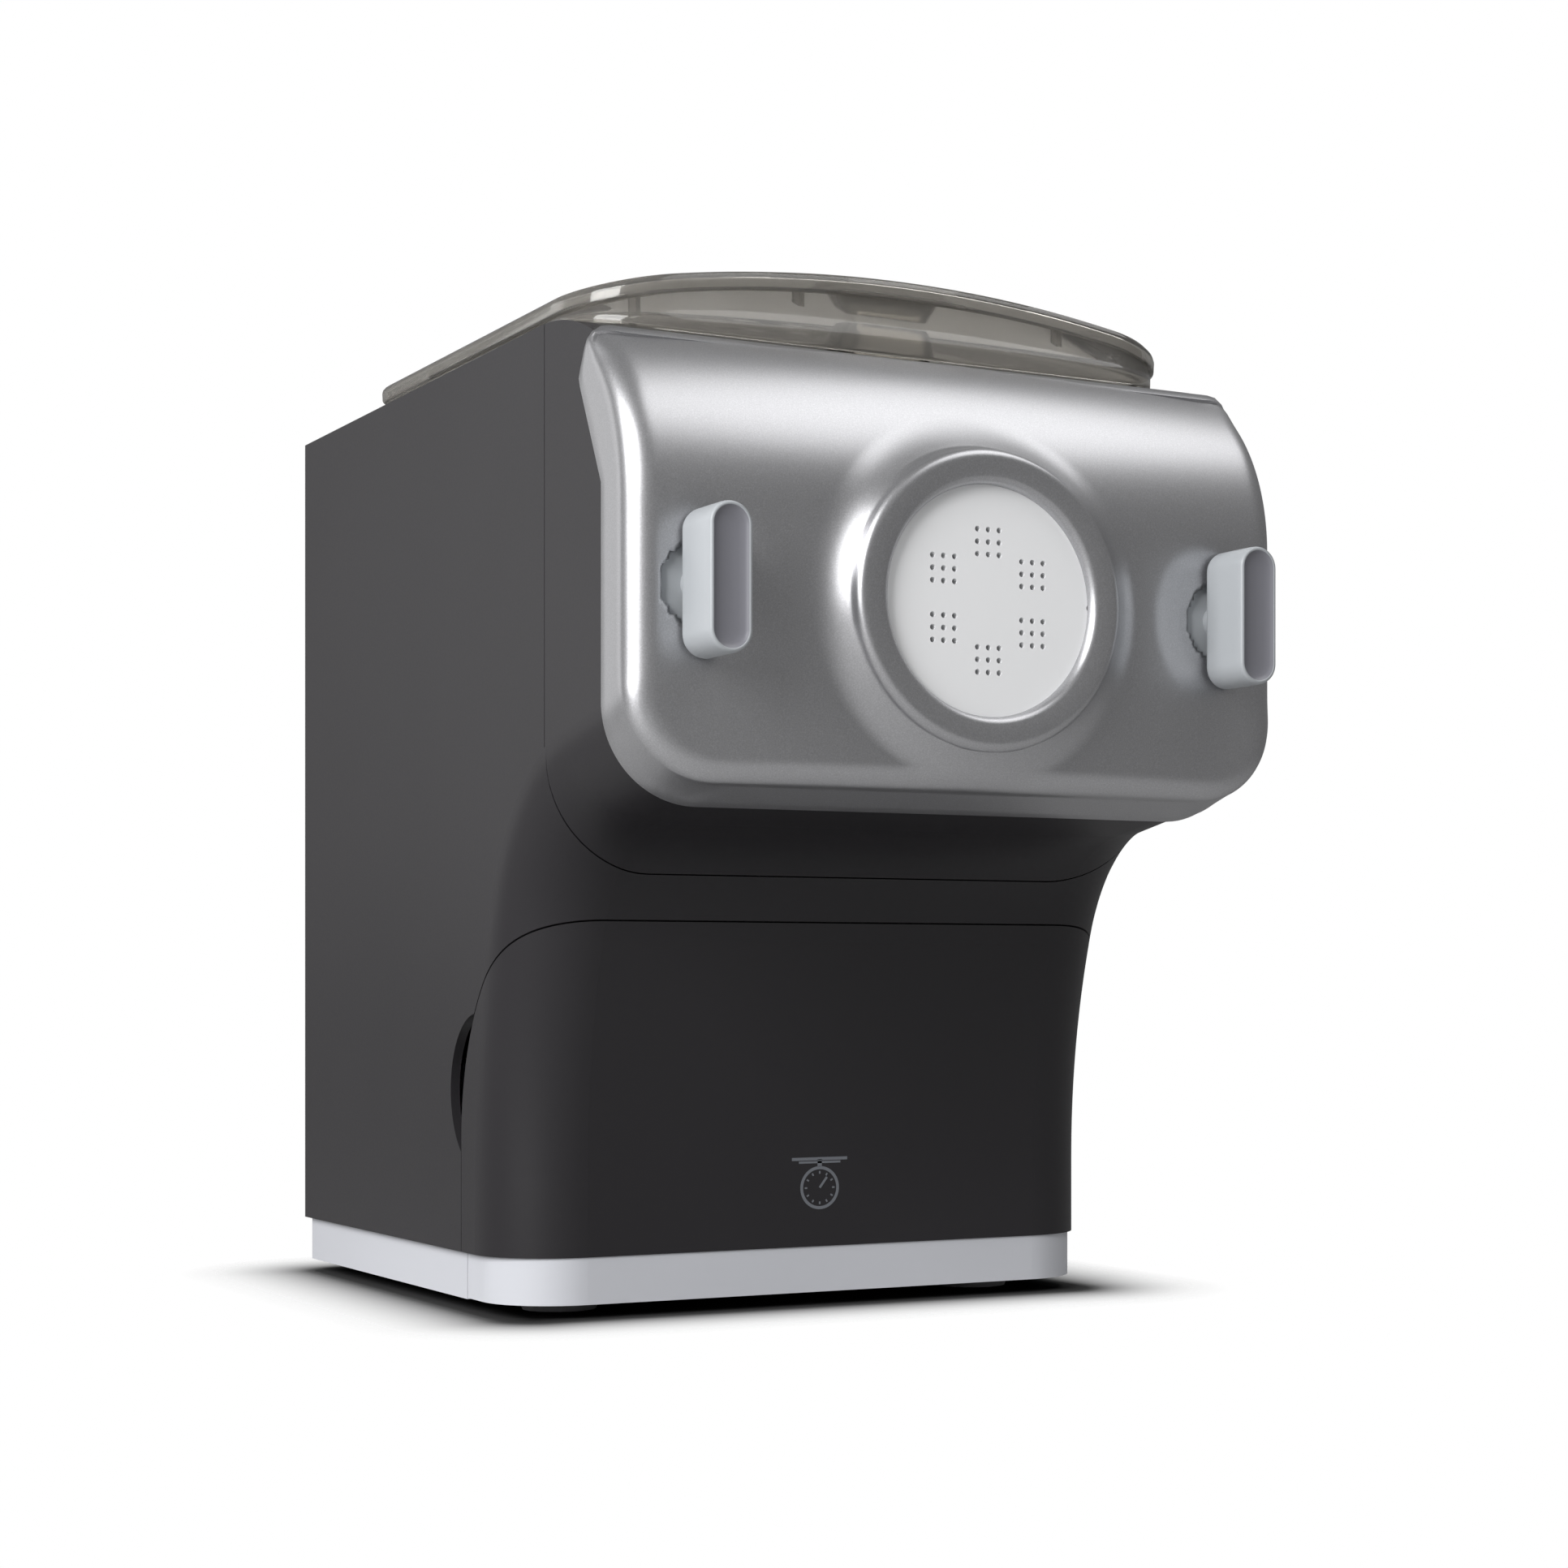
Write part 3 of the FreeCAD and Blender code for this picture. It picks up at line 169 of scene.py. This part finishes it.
def silver_paint(name, tone, roughness, metal=0.9):
    """Silver flake paint: fine metal flakes of uneven tone under a satin lacquer."""
    recipe = Recipe(name, Metallic=metal, Coat_Weight=0.10, Coat_Roughness=0.4)
    flakes = recipe.noise(2600.0, 2.0, 0.7)
    stops = [(0.30, 0.86), (0.55, 1.0), (0.75, 1.18)]
    tones = [(spot, (tone * gain, tone * gain, tone * gain * 1.03)) for spot, gain in stops]
    recipe.link(recipe.ramp(flakes, tones), recipe.shader.inputs["Base Color"])
    recipe.link(recipe.remap(flakes, roughness - 0.05, roughness + 0.05), recipe.shader.inputs["Roughness"])
    recipe.bump(flakes, 0.14, 0.00006)
    return recipe.material


def smoke_clear(name, thin, thick):
    """Clear plastic with a brown smoke tint, a little haze in it."""
    recipe = Recipe(name, IOR=1.46, Transmission_Weight=0.9)
    haze = recipe.noise(30.0, 2.0)
    recipe.link(recipe.ramp(haze, [(0.3, thick), (0.7, thin)]), recipe.shader.inputs["Base Color"])
    recipe.link(recipe.remap(haze, 0.05, 0.12), recipe.shader.inputs["Roughness"])
    return recipe.material


def metal(name, colour, roughness):
    """Bare metal with faint drawn lines."""
    recipe = Recipe(name, Metallic=1.0)
    lines = recipe.noise(300.0, 3.0, 0.6, stretch=(1.0, 12.0, 1.0))
    dark = [c * 0.85 for c in colour]
    recipe.link(recipe.ramp(lines, [(0.3, dark), (0.7, colour)]), recipe.shader.inputs["Base Color"])
    recipe.link(recipe.remap(lines, roughness - 0.08, roughness + 0.08), recipe.shader.inputs["Roughness"])
    recipe.bump(lines, 0.1, 0.00005)
    return recipe.material


def make_finishes():
    return {
        "dark_shell": plastic("shell_satin", (0.024, 0.0225, 0.025), 0.05, 0.40, 1500.0, 0.08,
                              Specular_IOR_Level=0.25),
        "silver": silver_paint("panel_silver", 0.50, 0.36),
        "bright_ring": silver_paint("ring_silver", 0.56, 0.34),
        "knob_white": plastic("knob_grey_white", (0.40, 0.42, 0.44), 0.02, 0.36, 1200.0, 0.05),
        # Painted shade: a darker copy of the knob grey, used on the front bead and dish of each knob.
        "knob_painted_shade": plastic("knob_front_painted_shade", (0.20, 0.20, 0.225), 0.02, 0.36, 1200.0, 0.05),
        "black_trim": plastic("black_trim", (0.012, 0.012, 0.013), 0.15, 0.5, 900.0, 0.15),
        "white_plastic": plastic("white_plastic", (0.90, 0.905, 0.915), 0.012, 0.34, 1200.0, 0.04),
        "base_grey": plastic("base_grey", (0.61, 0.62, 0.66), 0.02, 0.42, 1200.0, 0.06),
        "smoke_clear": smoke_clear("smoke_clear", (0.80, 0.775, 0.73), (0.75, 0.725, 0.68)),
        "smoke_dark": smoke_clear("smoke_funnel", (0.36, 0.34, 0.31), (0.30, 0.285, 0.26)),
        "rubber": plastic("foot_rubber", (0.34, 0.34, 0.35), 0.1, 0.7, 500.0, 0.3),
        "steel": metal("brushed_steel", (0.62, 0.62, 0.63), 0.30),
        "aluminium": metal("cast_aluminium", (0.72, 0.72, 0.73), 0.42),
        "gear_nylon": plastic("gear_nylon", (0.78, 0.76, 0.69), 0.04, 0.45, 700.0, 0.1),
        "copper_iron": plastic("winding_iron", (0.24, 0.15, 0.10), 0.3, 0.5, 300.0, 0.4, Metallic=0.6),
        "board_green": plastic("board_green", (0.02, 0.12, 0.05), 0.25, 0.35, 400.0, 0.2),
        "display_glass": plastic("display_glass", (0.012, 0.012, 0.016), 0.1, 0.12, 500.0, 0.01),
        "button_grey": plastic("button_grey", (0.55, 0.57, 0.60), 0.03, 0.42, 1200.0, 0.08),
        "sign_grey": plastic("sign_grey", (0.155, 0.165, 0.185), 0.02, 0.5, 1200.0, 0.02),
    }


def dress_nodes(finishes):
    """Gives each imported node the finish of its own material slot."""
    slots = {part["node"]: part["material_slot"] for part in frame["record"]["subparts"]}
    for name, node in frame["nodes"].items():
        for slot in node.material_slots:
            slot.material = finishes[slots[name]]


# Surfaces from grids of points
def grid_faces(rows, columns, wrap):
    """Four-point faces of a grid; wrap joins the last column to the first."""
    across = columns if wrap else columns - 1
    row, column = np.meshgrid(np.arange(rows - 1), np.arange(across), indexing="ij")
    after = (column + 1) % columns
    corners = [row * columns + column, row * columns + after,
               (row + 1) * columns + after, (row + 1) * columns + column]
    return np.stack(corners, axis=-1).reshape(-1, 4)


def make_piece(name, points, faces, materials, which=None, angle=40.0):
    """A mesh object at the origin from points in millimetres and faces of equal corner count."""
    mesh = bpy.data.meshes.new(name)
    mesh.vertices.add(len(points))
    mesh.vertices.foreach_set("co", (np.asarray(points, float) * MM).ravel())
    corner_count = faces.shape[1]
    mesh.loops.add(faces.size)
    mesh.loops.foreach_set("vertex_index", faces.ravel())
    mesh.polygons.add(len(faces))
    mesh.polygons.foreach_set("loop_start", np.arange(0, faces.size, corner_count))
    mesh.polygons.foreach_set("loop_total", np.full(len(faces), corner_count))
    for material in materials:
        mesh.materials.append(material)
    if which is not None:
        mesh.polygons.foreach_set("material_index", which)
    mesh.update(calc_edges=True)
    mesh.validate()
    mesh.shade_smooth()
    mesh.set_sharp_from_angle(angle=math.radians(angle))
    piece = bpy.data.objects.new(name, mesh)
    bpy.context.collection.objects.link(piece)
    return piece


def thicken(piece, thickness):
    """Gives a surface a wall, which grows on the side that its faces turn away from."""
    solid = piece.modifiers.new("wall", "SOLIDIFY")
    solid.thickness = thickness * MM
    solid.offset = -1
    return piece


def smooth_step(value, start, end):
    t = np.clip((value - start) / (end - start), 0, 1)
    return t * t * (3 - 2 * t)


def reach_to_frame(angle, half_x, low, high, low_radius, high_radius, centre):
    """Distance from the centre to a round-cornered rectangle along each angle, by halving the range.

    The rectangle spans -half_x..half_x and low..high; its signed distance is the usual
    length(max(|p| - box + r, 0)) + min(max(|p| - box + r), 0) - r with the corner radius of the nearer end.
    """
    near, far = np.zeros_like(angle), np.full_like(angle, 400.0)
    middle, half_z = (low + high) / 2, (high - low) / 2
    for _ in range(44):
        reach = (near + far) / 2
        x, z = reach * np.sin(angle), centre + reach * np.cos(angle)
        radius = np.where(z > middle, high_radius, low_radius)
        dx, dz = np.abs(x) - half_x + radius, np.abs(z - middle) - half_z + radius
        gap = np.hypot(np.maximum(dx, 0), np.maximum(dz, 0)) + np.minimum(np.maximum(dx, dz), 0) - radius
        near = np.where(gap < 0, reach, near)
        far = np.where(gap < 0, far, reach)
    return near


def face_depth(x, z):
    """Y of the panel's front: flat up to FACE_HIGH, then a brow of BROW_RADIUS that leans back; bowed by
    BOW at the edges. Round each knob the surface is drawn to a flat ledge, and round the hub it runs out in a
    concave flare  FACE - rise * (1 - s)^FLARE_POWER,  s = (distance - HUB_EDGE) / (FLARE_FOOT - HUB_EDGE)."""
    over = np.clip(z - FACE_HIGH, 0, BROW_RADIUS * 0.95)
    depth = FACE + BROW_RADIUS - np.sqrt(BROW_RADIUS ** 2 - over ** 2) + BOW * (x / EDGE) ** 2
    for side in (-1, 1):
        away = np.hypot(x - side * KNOB_X, z - AXIS)
        share = 1 - smooth_step(away, KNOB_LEDGE, LEDGE_BLEND)
        depth = depth + share * (np.maximum(depth, LEDGE_DEPTH) - depth)
    away = np.hypot(x, z - AXIS)
    run = np.clip((away - HUB_EDGE) / (FLARE_FOOT - HUB_EDGE), 0, 1)
    return depth - (FACE - HUB_FOOT) * (1 - run) ** FLARE_POWER


def rim_depth(z):
    """Y of the line where the panel meets the head: upright, then a flare back, then forward to the brow."""
    return np.interp(z, RIM_HEIGHTS, RIM_DEPTHS)


def panel_points(columns):
    """Rings of points from the recess of the disc out to the rim, one column per angle about the hub."""
    angle = np.linspace(0, 2 * math.pi, columns, endpoint=False)
    across, up = np.sin(angle), np.cos(angle)
    rings = []

    def ring(reach, depth):
        rings.append(np.stack([reach * across, np.broadcast_to(depth, angle.shape), AXIS + reach * up], axis=1))

    for inset, drop in ((0, 21.0), (0, 4.0), (0, 0.7), (0.1, 0.35), (0.3, 0.1), (0.6, 0.0)):
        ring(np.full(columns, RECESS + inset), HUB_FRONT + drop)
    for inset, drop in ((0.9, 0.0), (0.5, 0.0), (0.2, 0.06), (0.0, 0.25), (-0.1, 0.6), (-0.15, 1.3)):
        ring(np.full(columns, HUB_EDGE - inset), HUB_FRONT + drop)
    inner = reach_to_frame(angle, EDGE, FIELD_LOW, FIELD_HIGH, FIELD_LOW_CORNER, FIELD_HIGH_CORNER, AXIS)
    front = reach_to_frame(angle, HALF, BAND_LOW, BROW_TOP, BAND_CORNER, BROW_CORNER, AXIS)
    rim = reach_to_frame(angle, HALF, RIM_LOW, BROW_TOP, RIM_CORNER, BROW_CORNER, AXIS)
    start = HUB_EDGE + 0.15
    foot = np.minimum(FLARE_FOOT, start + (inner - start) * 0.75)
    for t in np.linspace(0, 1, 13)[1:]:
        reach = start + (foot - start) * t
        ring(reach, face_depth(reach * across, AXIS + reach * up))
    for t in np.linspace(0, 1, 41)[1:]:
        reach = foot + (inner - foot) * t
        ring(reach, face_depth(reach * across, AXIS + reach * up))
    base = face_depth(front * across, AXIS + front * up)
    height = AXIS + front * up
    low_share = 1 - smooth_step(height, *BAND_RUN)
    top_share = smooth_step(height, *TOP_RUN)
    side = np.maximum(SIDE_DEPTH, base + SIDE_LEAST)
    wanted = side * (1 - low_share - top_share) + BAND_DEPTH * low_share + (base + 0.4) * top_share
    limit = rim_depth(AXIS + rim * up)
    wanted = np.minimum(wanted, limit - 0.5)
    for t in np.linspace(0, 1, 11)[1:]:
        swing = math.sin(t * math.pi / 2)
        reach = inner + (front - inner) * swing
        depth = face_depth(reach * across, AXIS + reach * up)
        ring(reach, depth + (wanted - base) * (1 - math.cos(t * math.pi / 2)))
    for t in np.linspace(0, 1, 9)[1:]:
        ring(front + (rim - front) * t, wanted + (limit - wanted) * t)
    ring(rim - 0.5, limit + 0.25)
    ring(rim - 3.0, limit + 0.25)
    return np.stack(rings)


def make_panel(finishes):
    """The panel and the ring round its disc in one surface, open round each knob's flange."""
    columns = 480
    grid = panel_points(columns)
    faces = grid_faces(grid.shape[0], columns, True)[:, ::-1]
    points = grid.reshape(-1, 3)
    centre = points[faces].mean(axis=1)
    away = np.hypot(np.abs(centre[:, 0]) - KNOB_X, centre[:, 2] - AXIS)
    faces = faces[away > KNOB_OPENING]
    panel = make_piece("panel_skin", points, faces, [finishes["silver"]], angle=50.0)
    thicken(panel, PANEL_WALL)
    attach(panel, "panel")
    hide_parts("front_panel", "hub_ring")


def pill_ring(grow, depth, centre_x, columns):
    """A stretched circle: two half circles of the knob's half width, joined by straight sides."""
    angle = np.linspace(0, 2 * math.pi, columns, endpoint=False)
    radius = KNOB_HALF + grow
    shift = np.where(np.cos(angle) >= 0, KNOB_REACH, -KNOB_REACH)
    x = centre_x + radius * np.sin(angle)
    return np.stack([x, np.full(columns, depth), AXIS + shift + radius * np.cos(angle)], axis=1)


def round_rings(centre_x, profile, columns):
    """Circles about a knob's axis, one for each radius and depth of the profile."""
    angle = np.linspace(0, 2 * math.pi, columns, endpoint=False)
    radius, depth = np.array(profile).T[:, :, None]
    x = centre_x + radius * np.sin(angle)
    return np.stack([x, np.broadcast_to(depth, x.shape), AXIS + radius * np.cos(angle)], axis=-1)


def end_faces(first, columns):
    """Faces across a ring of points, each from two neighbours to the two that lie opposite."""
    index = np.arange(1, columns // 2 - 1)
    corners = [index, index + 1, columns - 1 - index, columns - index]
    return first + np.stack(corners, axis=1)


def make_knob(label, side, finishes):
    """Pill grip with a soft bead round a dished front, on a round flange with a spigot behind."""
    grip_columns, round_columns, dish_start, centre_x = 128, 96, 11, side * KNOB_X
    back = KNOB_FRONT + KNOB_DEPTH
    rows = [(-6.3, back), (-1.6, back), (-0.7, back - 0.2), (-0.15, back - 0.75), (0, back - 1.6),
            (0, back - 8), (-0.05, KNOB_FRONT + 3), (-0.15, KNOB_FRONT + 1.0), (-0.3, KNOB_FRONT + 0.45),
            (-0.6, KNOB_FRONT + 0.12), (-1.0, KNOB_FRONT), (-1.3, KNOB_FRONT + 0.12), (-1.7, KNOB_FRONT + 0.55),
            (-2.6, KNOB_FRONT + 0.95), (-4.2, KNOB_FRONT + 1.25), (-6.3, KNOB_FRONT + 1.35)]
    grip = np.concatenate([pill_ring(grow, depth, centre_x, grip_columns) for grow, depth in rows])
    grip_faces = grid_faces(len(rows), grip_columns, True)[:, ::-1]
    row = np.repeat(np.arange(len(rows) - 1), grip_columns)
    back_faces = end_faces(0, grip_columns)
    dish_faces = end_faces((len(rows) - 1) * grip_columns, grip_columns)[:, ::-1]
    flange_profile = [(0.05, FLANGE_FRONT), (FLANGE_RADIUS - 1.2, FLANGE_FRONT),
                      (FLANGE_RADIUS - 0.4, FLANGE_FRONT + 0.15), (FLANGE_RADIUS, FLANGE_FRONT + 0.7),
                      (FLANGE_RADIUS, FLANGE_BACK), (SPIGOT, FLANGE_BACK), (SPIGOT, SPIGOT_BACK),
                      (0.05, SPIGOT_BACK)]
    flange = round_rings(centre_x, flange_profile, round_columns).reshape(-1, 3)
    neck_profile = [(NECK_RADIUS, back - 0.5), (NECK_RADIUS, FLANGE_FRONT + 0.5)]
    neck = round_rings(centre_x, neck_profile, round_columns).reshape(-1, 3)
    flange_faces = len(grip) + grid_faces(len(flange_profile), round_columns, True)[:, ::-1]
    neck_faces = len(grip) + len(flange) + grid_faces(len(neck_profile), round_columns, True)[:, ::-1]
    faces = np.concatenate([grip_faces, back_faces, dish_faces, flange_faces, neck_faces])
    # Rows from the front bead on, and the dished front, take the darker copy of the knob grey: painted shade.
    which = np.zeros(len(faces), int)
    which[:len(row)] = row >= dish_start
    which[len(row) + len(back_faces):][:len(dish_faces)] = 1
    knob = make_piece(label + "_knob_skin", np.concatenate([grip, flange, neck]), faces,
                      [finishes["knob_white"], finishes["knob_painted_shade"]], which, angle=60.0)
    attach(knob, label + "_lock")
    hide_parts(label + "_knob")


def lid_arch(x):
    """Height of the lid's arch, a circle through the two long edges and the crest."""
    rise = LID_TOP - LID_EDGE
    radius = (LID_HALF ** 2 + rise ** 2) / (2 * rise)
    return LID_TOP - radius + np.sqrt(radius ** 2 - x ** 2)


def deck_height(y):
    """Height of the body's top: level, then a crown that rolls down to the brow."""
    ahead = np.clip(CROWN_START - y, 0, CROWN_RADIUS * 0.9)
    return DECK - CROWN_RADIUS + np.sqrt(CROWN_RADIUS ** 2 - ahead ** 2)


def make_lid(finishes):
    """Arched clear cover: rings of points from the foot of its wall up over a rim that stands out,
    then across the arch to the edge of the water slot."""
    columns, centre = 384, SLOT_Y
    angle = np.linspace(0, 2 * math.pi, columns, endpoint=False)
    across, along = np.sin(angle), np.cos(angle)
    outline = reach_to_frame(angle, LID_HALF, LID_FRONT, LID_REAR, LID_FRONT_CORNER, LID_REAR_CORNER, centre)
    slot = reach_to_frame(angle, SLOT_HALF_X, -SLOT_HALF_Y, SLOT_HALF_Y, SLOT_CORNER, SLOT_CORNER, 0.0)
    rings = []

    def ring(reach, height, shift=0.0):
        x, y = reach * across + shift, centre + reach * along
        rings.append(np.stack([x, y, height(x, y)], axis=1))

    ring(outline - 1.4, lambda x, y: deck_height(y) + 0.35)
    ring(outline - 1.35, lambda x, y: deck_height(y) + 1.2)
    ring(outline - 1.3, lambda x, y: lid_arch(x) - 3.2)
    ring(outline - 1.2, lambda x, y: lid_arch(x) - 2.75)
    for inset, drop in ((0.25, 2.6), (0.0, 2.35), (0.0, 0.7), (0.12, 0.3), (0.5, 0.05), (1.2, 0.0)):
        ring(outline - inset, lambda x, y: lid_arch(x) - drop)
    for t in np.linspace(0, 1, 31)[1:]:
        ring((outline - 1.2) * (1 - t) + slot * t, lambda x, y: lid_arch(x), SLOT_X * t)
    faces = grid_faces(len(rings), columns, True)
    lid = make_piece("lid_skin", np.concatenate(rings), faces, [finishes["smoke_clear"]], angle=40.0)
    thicken(lid, LID_WALL)
    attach(lid, "lid_cover")
    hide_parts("lid")


def make_funnel(finishes):
    """Water inlet under the slot: a plate with round corners over a chute that narrows downwards."""
    columns = 96
    angle = np.linspace(0, 2 * math.pi, columns, endpoint=False)
    rows = [(22.0, 9.0, LID_TOP - 4.5), (22.0, 9.0, LID_TOP - 5.5), (20.5, 7.6, LID_TOP - 5.7),
            (19.0, 6.6, LID_TOP - 8.0), (13.0, 5.5, DECK + 1.2)]
    rings = []
    for half_x, half_y, height in rows:
        reach = reach_to_frame(angle, half_x, -half_y, half_y, SLOT_CORNER, SLOT_CORNER, 0.0)
        rings.append(np.stack([SLOT_X + reach * np.sin(angle), SLOT_Y + reach * np.cos(angle),
                               np.full(columns, height)], axis=1))
    funnel = make_piece("water_inlet", np.concatenate(rings), grid_faces(len(rings), columns, True)[:, ::-1],
                        [finishes["smoke_dark"]], angle=35.0)
    thicken(funnel, FUNNEL_WALL)
    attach(funnel, "lid_cover")
    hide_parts("water_slot")


def make_ribs(finishes):
    """Short upright ribs behind the lid's front wall: boxes whose top follows the arch."""
    places = np.array(RIB_PLACES)
    near, far = LID_FRONT + RIB_SPAN[0], LID_FRONT + RIB_SPAN[1]
    points = np.empty((len(places), 2, 4, 3))
    points[..., 0] = places[:, None, None] + RIB_HALF * np.array([-1, 1, 1, -1])
    points[..., 1] = [near, near, far, far]
    points[..., 2] = (lid_arch(places) - RIB_DROP)[:, None, None] - np.array([[RIB_HEIGHT], [0.0]])
    box = np.array([(0, 3, 2, 1), (4, 5, 6, 7), (0, 1, 5, 4), (1, 2, 6, 5), (2, 3, 7, 6), (3, 0, 4, 7)])
    faces = box + 8 * np.arange(len(places))[:, None, None]
    ribs = make_piece("lid_ribs", points.reshape(-1, 3), faces.reshape(-1, 4), [finishes["smoke_dark"]])
    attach(ribs, "lid_cover")


def strip_quads(starts, ends, widths):
    """One flat rectangle from each start to its end, as four corners across and up."""
    starts, ends = np.array(starts, float), np.array(ends, float)
    along = (ends - starts) / np.linalg.norm(ends - starts, axis=1)[:, None]
    aside = np.stack([-along[:, 1], along[:, 0]], axis=1) * np.array(widths, float)[:, None] / 2
    return np.stack([starts - aside, ends - aside, ends + aside, starts + aside], axis=1)


def make_sign(finishes):
    """A kitchen scale as a plain sign: a dial with ticks and a pointer under a pan, printed on the drawer.

    The dial is a ring of quads between two circles, and every other line is a flat strip."""
    centre, depth, dial_drop, steps = 40.2, -43.05, 2.0, 72
    angle = np.linspace(0, 2 * math.pi, steps + 1)
    ray = np.stack([np.sin(angle), np.cos(angle)], axis=1)
    inner, outer = 6.0 * ray, 7.0 * ray
    dial = np.stack([inner[:-1], inner[1:], outer[1:], outer[:-1]], axis=1)
    ticks = ray[:-1:steps // 12]
    marks = strip_quads(4.5 * ticks, 5.4 * ticks, np.full(12, 0.55))
    pointer = strip_quads([(0, 0)], [(2.6, 3.4)], [0.8])
    pan = strip_quads([(-10, 7.4), (0, 4.9), (-7.5, 6.3)], [(10, 7.4), (0, 7.2), (7.5, 6.3)], [1.0, 1.6, 0.7])
    below = np.concatenate([dial, marks, pointer]) - (0, dial_drop)
    flat = np.concatenate([below, pan]).reshape(-1, 2)
    points = np.stack([flat[:, 0], np.full(len(flat), depth), centre + flat[:, 1]], axis=1)
    sign = make_piece("scale_sign", points, np.arange(len(flat)).reshape(-1, 4), [finishes["sign_grey"]])
    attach(sign, "drawer")


# Studio
def area_light(name, place, target, size, power):
    data = bpy.data.lights.new(name, "AREA")
    data.shape = "RECTANGLE"
    data.size, data.size_y = size
    data.energy = power
    light = bpy.data.objects.new(name, data)
    light.location = place
    direction = np.array(target) - np.array(place)
    tilt = math.acos(-direction[2] / np.linalg.norm(direction))
    light.rotation_euler = (tilt, 0, math.atan2(direction[1], direction[0]) - math.pi / 2)
    bpy.context.collection.objects.link(light)


def set_studio():
    world = bpy.data.worlds.new("studio")
    bpy.context.scene.world = world
    world.use_nodes = True
    tree = world.node_tree
    tree.nodes.clear()
    output = tree.nodes.new("ShaderNodeOutputWorld")
    soft = tree.nodes.new("ShaderNodeBackground")
    soft.inputs["Color"].default_value = (1, 1, 1, 1)
    soft.inputs["Strength"].default_value = 0.20
    white = tree.nodes.new("ShaderNodeBackground")
    white.inputs["Strength"].default_value = 1.0
    white.inputs["Color"].default_value = (1, 1, 1, 1)
    rays = tree.nodes.new("ShaderNodeLightPath")
    mix = tree.nodes.new("ShaderNodeMixShader")
    tree.links.new(rays.outputs["Is Camera Ray"], mix.inputs["Fac"])
    tree.links.new(soft.outputs["Background"], mix.inputs[1])
    tree.links.new(white.outputs["Background"], mix.inputs[2])
    tree.links.new(mix.outputs["Shader"], output.inputs["Surface"])
    area_light("left_key", (-1.25, -0.62, 0.80), (0, -0.05, 0.2), (0.9, 0.9), 27)
    area_light("brow_light", (0.56, -0.50, 1.40), (0, -0.13, 0.26), (1.3, 0.75), 6.4)
    area_light("rear_card", (-1.1, 1.35, 0.55), (0, 0.1, 0.2), (0.9, 0.9), 2.6)


def make_floor():
    """A pale round floor that takes the shadow and fades into the white surroundings.

    The camera sees a painted contact shadow: its colour darkens towards the footprint, which deepens the
    contact shadow.
    Other rays see one tone."""
    angle = np.linspace(0, 2 * math.pi, 96, endpoint=False)
    rings = [np.stack([r * np.cos(angle), r * np.sin(angle), np.zeros(96)], axis=1) for r in (1.0, 4000.0)]
    floor = make_piece("floor", np.concatenate(rings), grid_faces(2, 96, True)[:, ::-1], [])
    recipe = Recipe("floor_white", Roughness=0.9, Specular_IOR_Level=0.0)
    source = recipe.place()
    foot_centre, foot_half = (0, 0.058, 0), (0.094, 0.092, 0.0)
    fade_start, fade_end, painted_shadow_reach = 0.012, 0.06, 0.05
    for operation, amount in (("SUBTRACT", foot_centre), ("ABSOLUTE", None), ("SUBTRACT", foot_half),
                              ("MAXIMUM", (0, 0, 0))):
        step = recipe.node("VectorMath", operation=operation)
        recipe.link(source, step.inputs[0])
        if amount:
            step.inputs[1].default_value = amount
        source = step.outputs["Vector"]
    away = recipe.node("VectorMath", operation="LENGTH")
    recipe.link(source, away.inputs[0])
    share = recipe.remap(away.outputs["Value"], 1.0, 0.0, fade_start, fade_end)
    # Painted contact shadow for camera rays: the colour ramps from near black at the footprint to near white
    # further out.
    painted_shadow = recipe.ramp(recipe.remap(away.outputs["Value"], 0.0, 1.0, 0.0, painted_shadow_reach),
                        [(0.0, (0.01,) * 3), (0.30, (0.07,) * 3), (0.60, (0.50,) * 3), (0.95, (0.97,) * 3)])
    rays = recipe.node("LightPath")
    tone = recipe.node("MixRGB", Color1=(0.50, 0.50, 0.50, 1))
    recipe.link(rays.outputs["Is Camera Ray"], tone.inputs["Fac"])
    recipe.link(painted_shadow, tone.inputs["Color2"])
    recipe.link(tone.outputs["Color"], recipe.shader.inputs["Base Color"])
    keep = recipe.node("Math", operation="MAXIMUM")
    other = recipe.node("Math", operation="SUBTRACT")
    other.inputs[0].default_value = 1.0
    recipe.link(rays.outputs["Is Camera Ray"], other.inputs[1])
    recipe.link(share, keep.inputs[0])
    recipe.link(other.outputs["Value"], keep.inputs[1])
    mix = recipe.node("MixShader")
    clear = recipe.node("BsdfTransparent")
    recipe.link(keep.outputs["Value"], mix.inputs["Fac"])
    recipe.link(clear.outputs["BSDF"], mix.inputs[1])
    recipe.link(recipe.shader.outputs["BSDF"], mix.inputs[2])
    recipe.link(mix.outputs["Shader"], recipe.tree.nodes["Material Output"].inputs["Surface"])
    floor.data.materials.append(recipe.material)


set_camera()
finishes = make_finishes()
dress_nodes(finishes)
make_panel(finishes)
make_knob("left", -1, finishes)
make_knob("right", 1, finishes)
make_lid(finishes)
make_funnel(finishes)
make_ribs(finishes)
make_sign(finishes)
set_studio()
make_floor()

bpy.context.scene.view_settings.view_transform = "Standard"
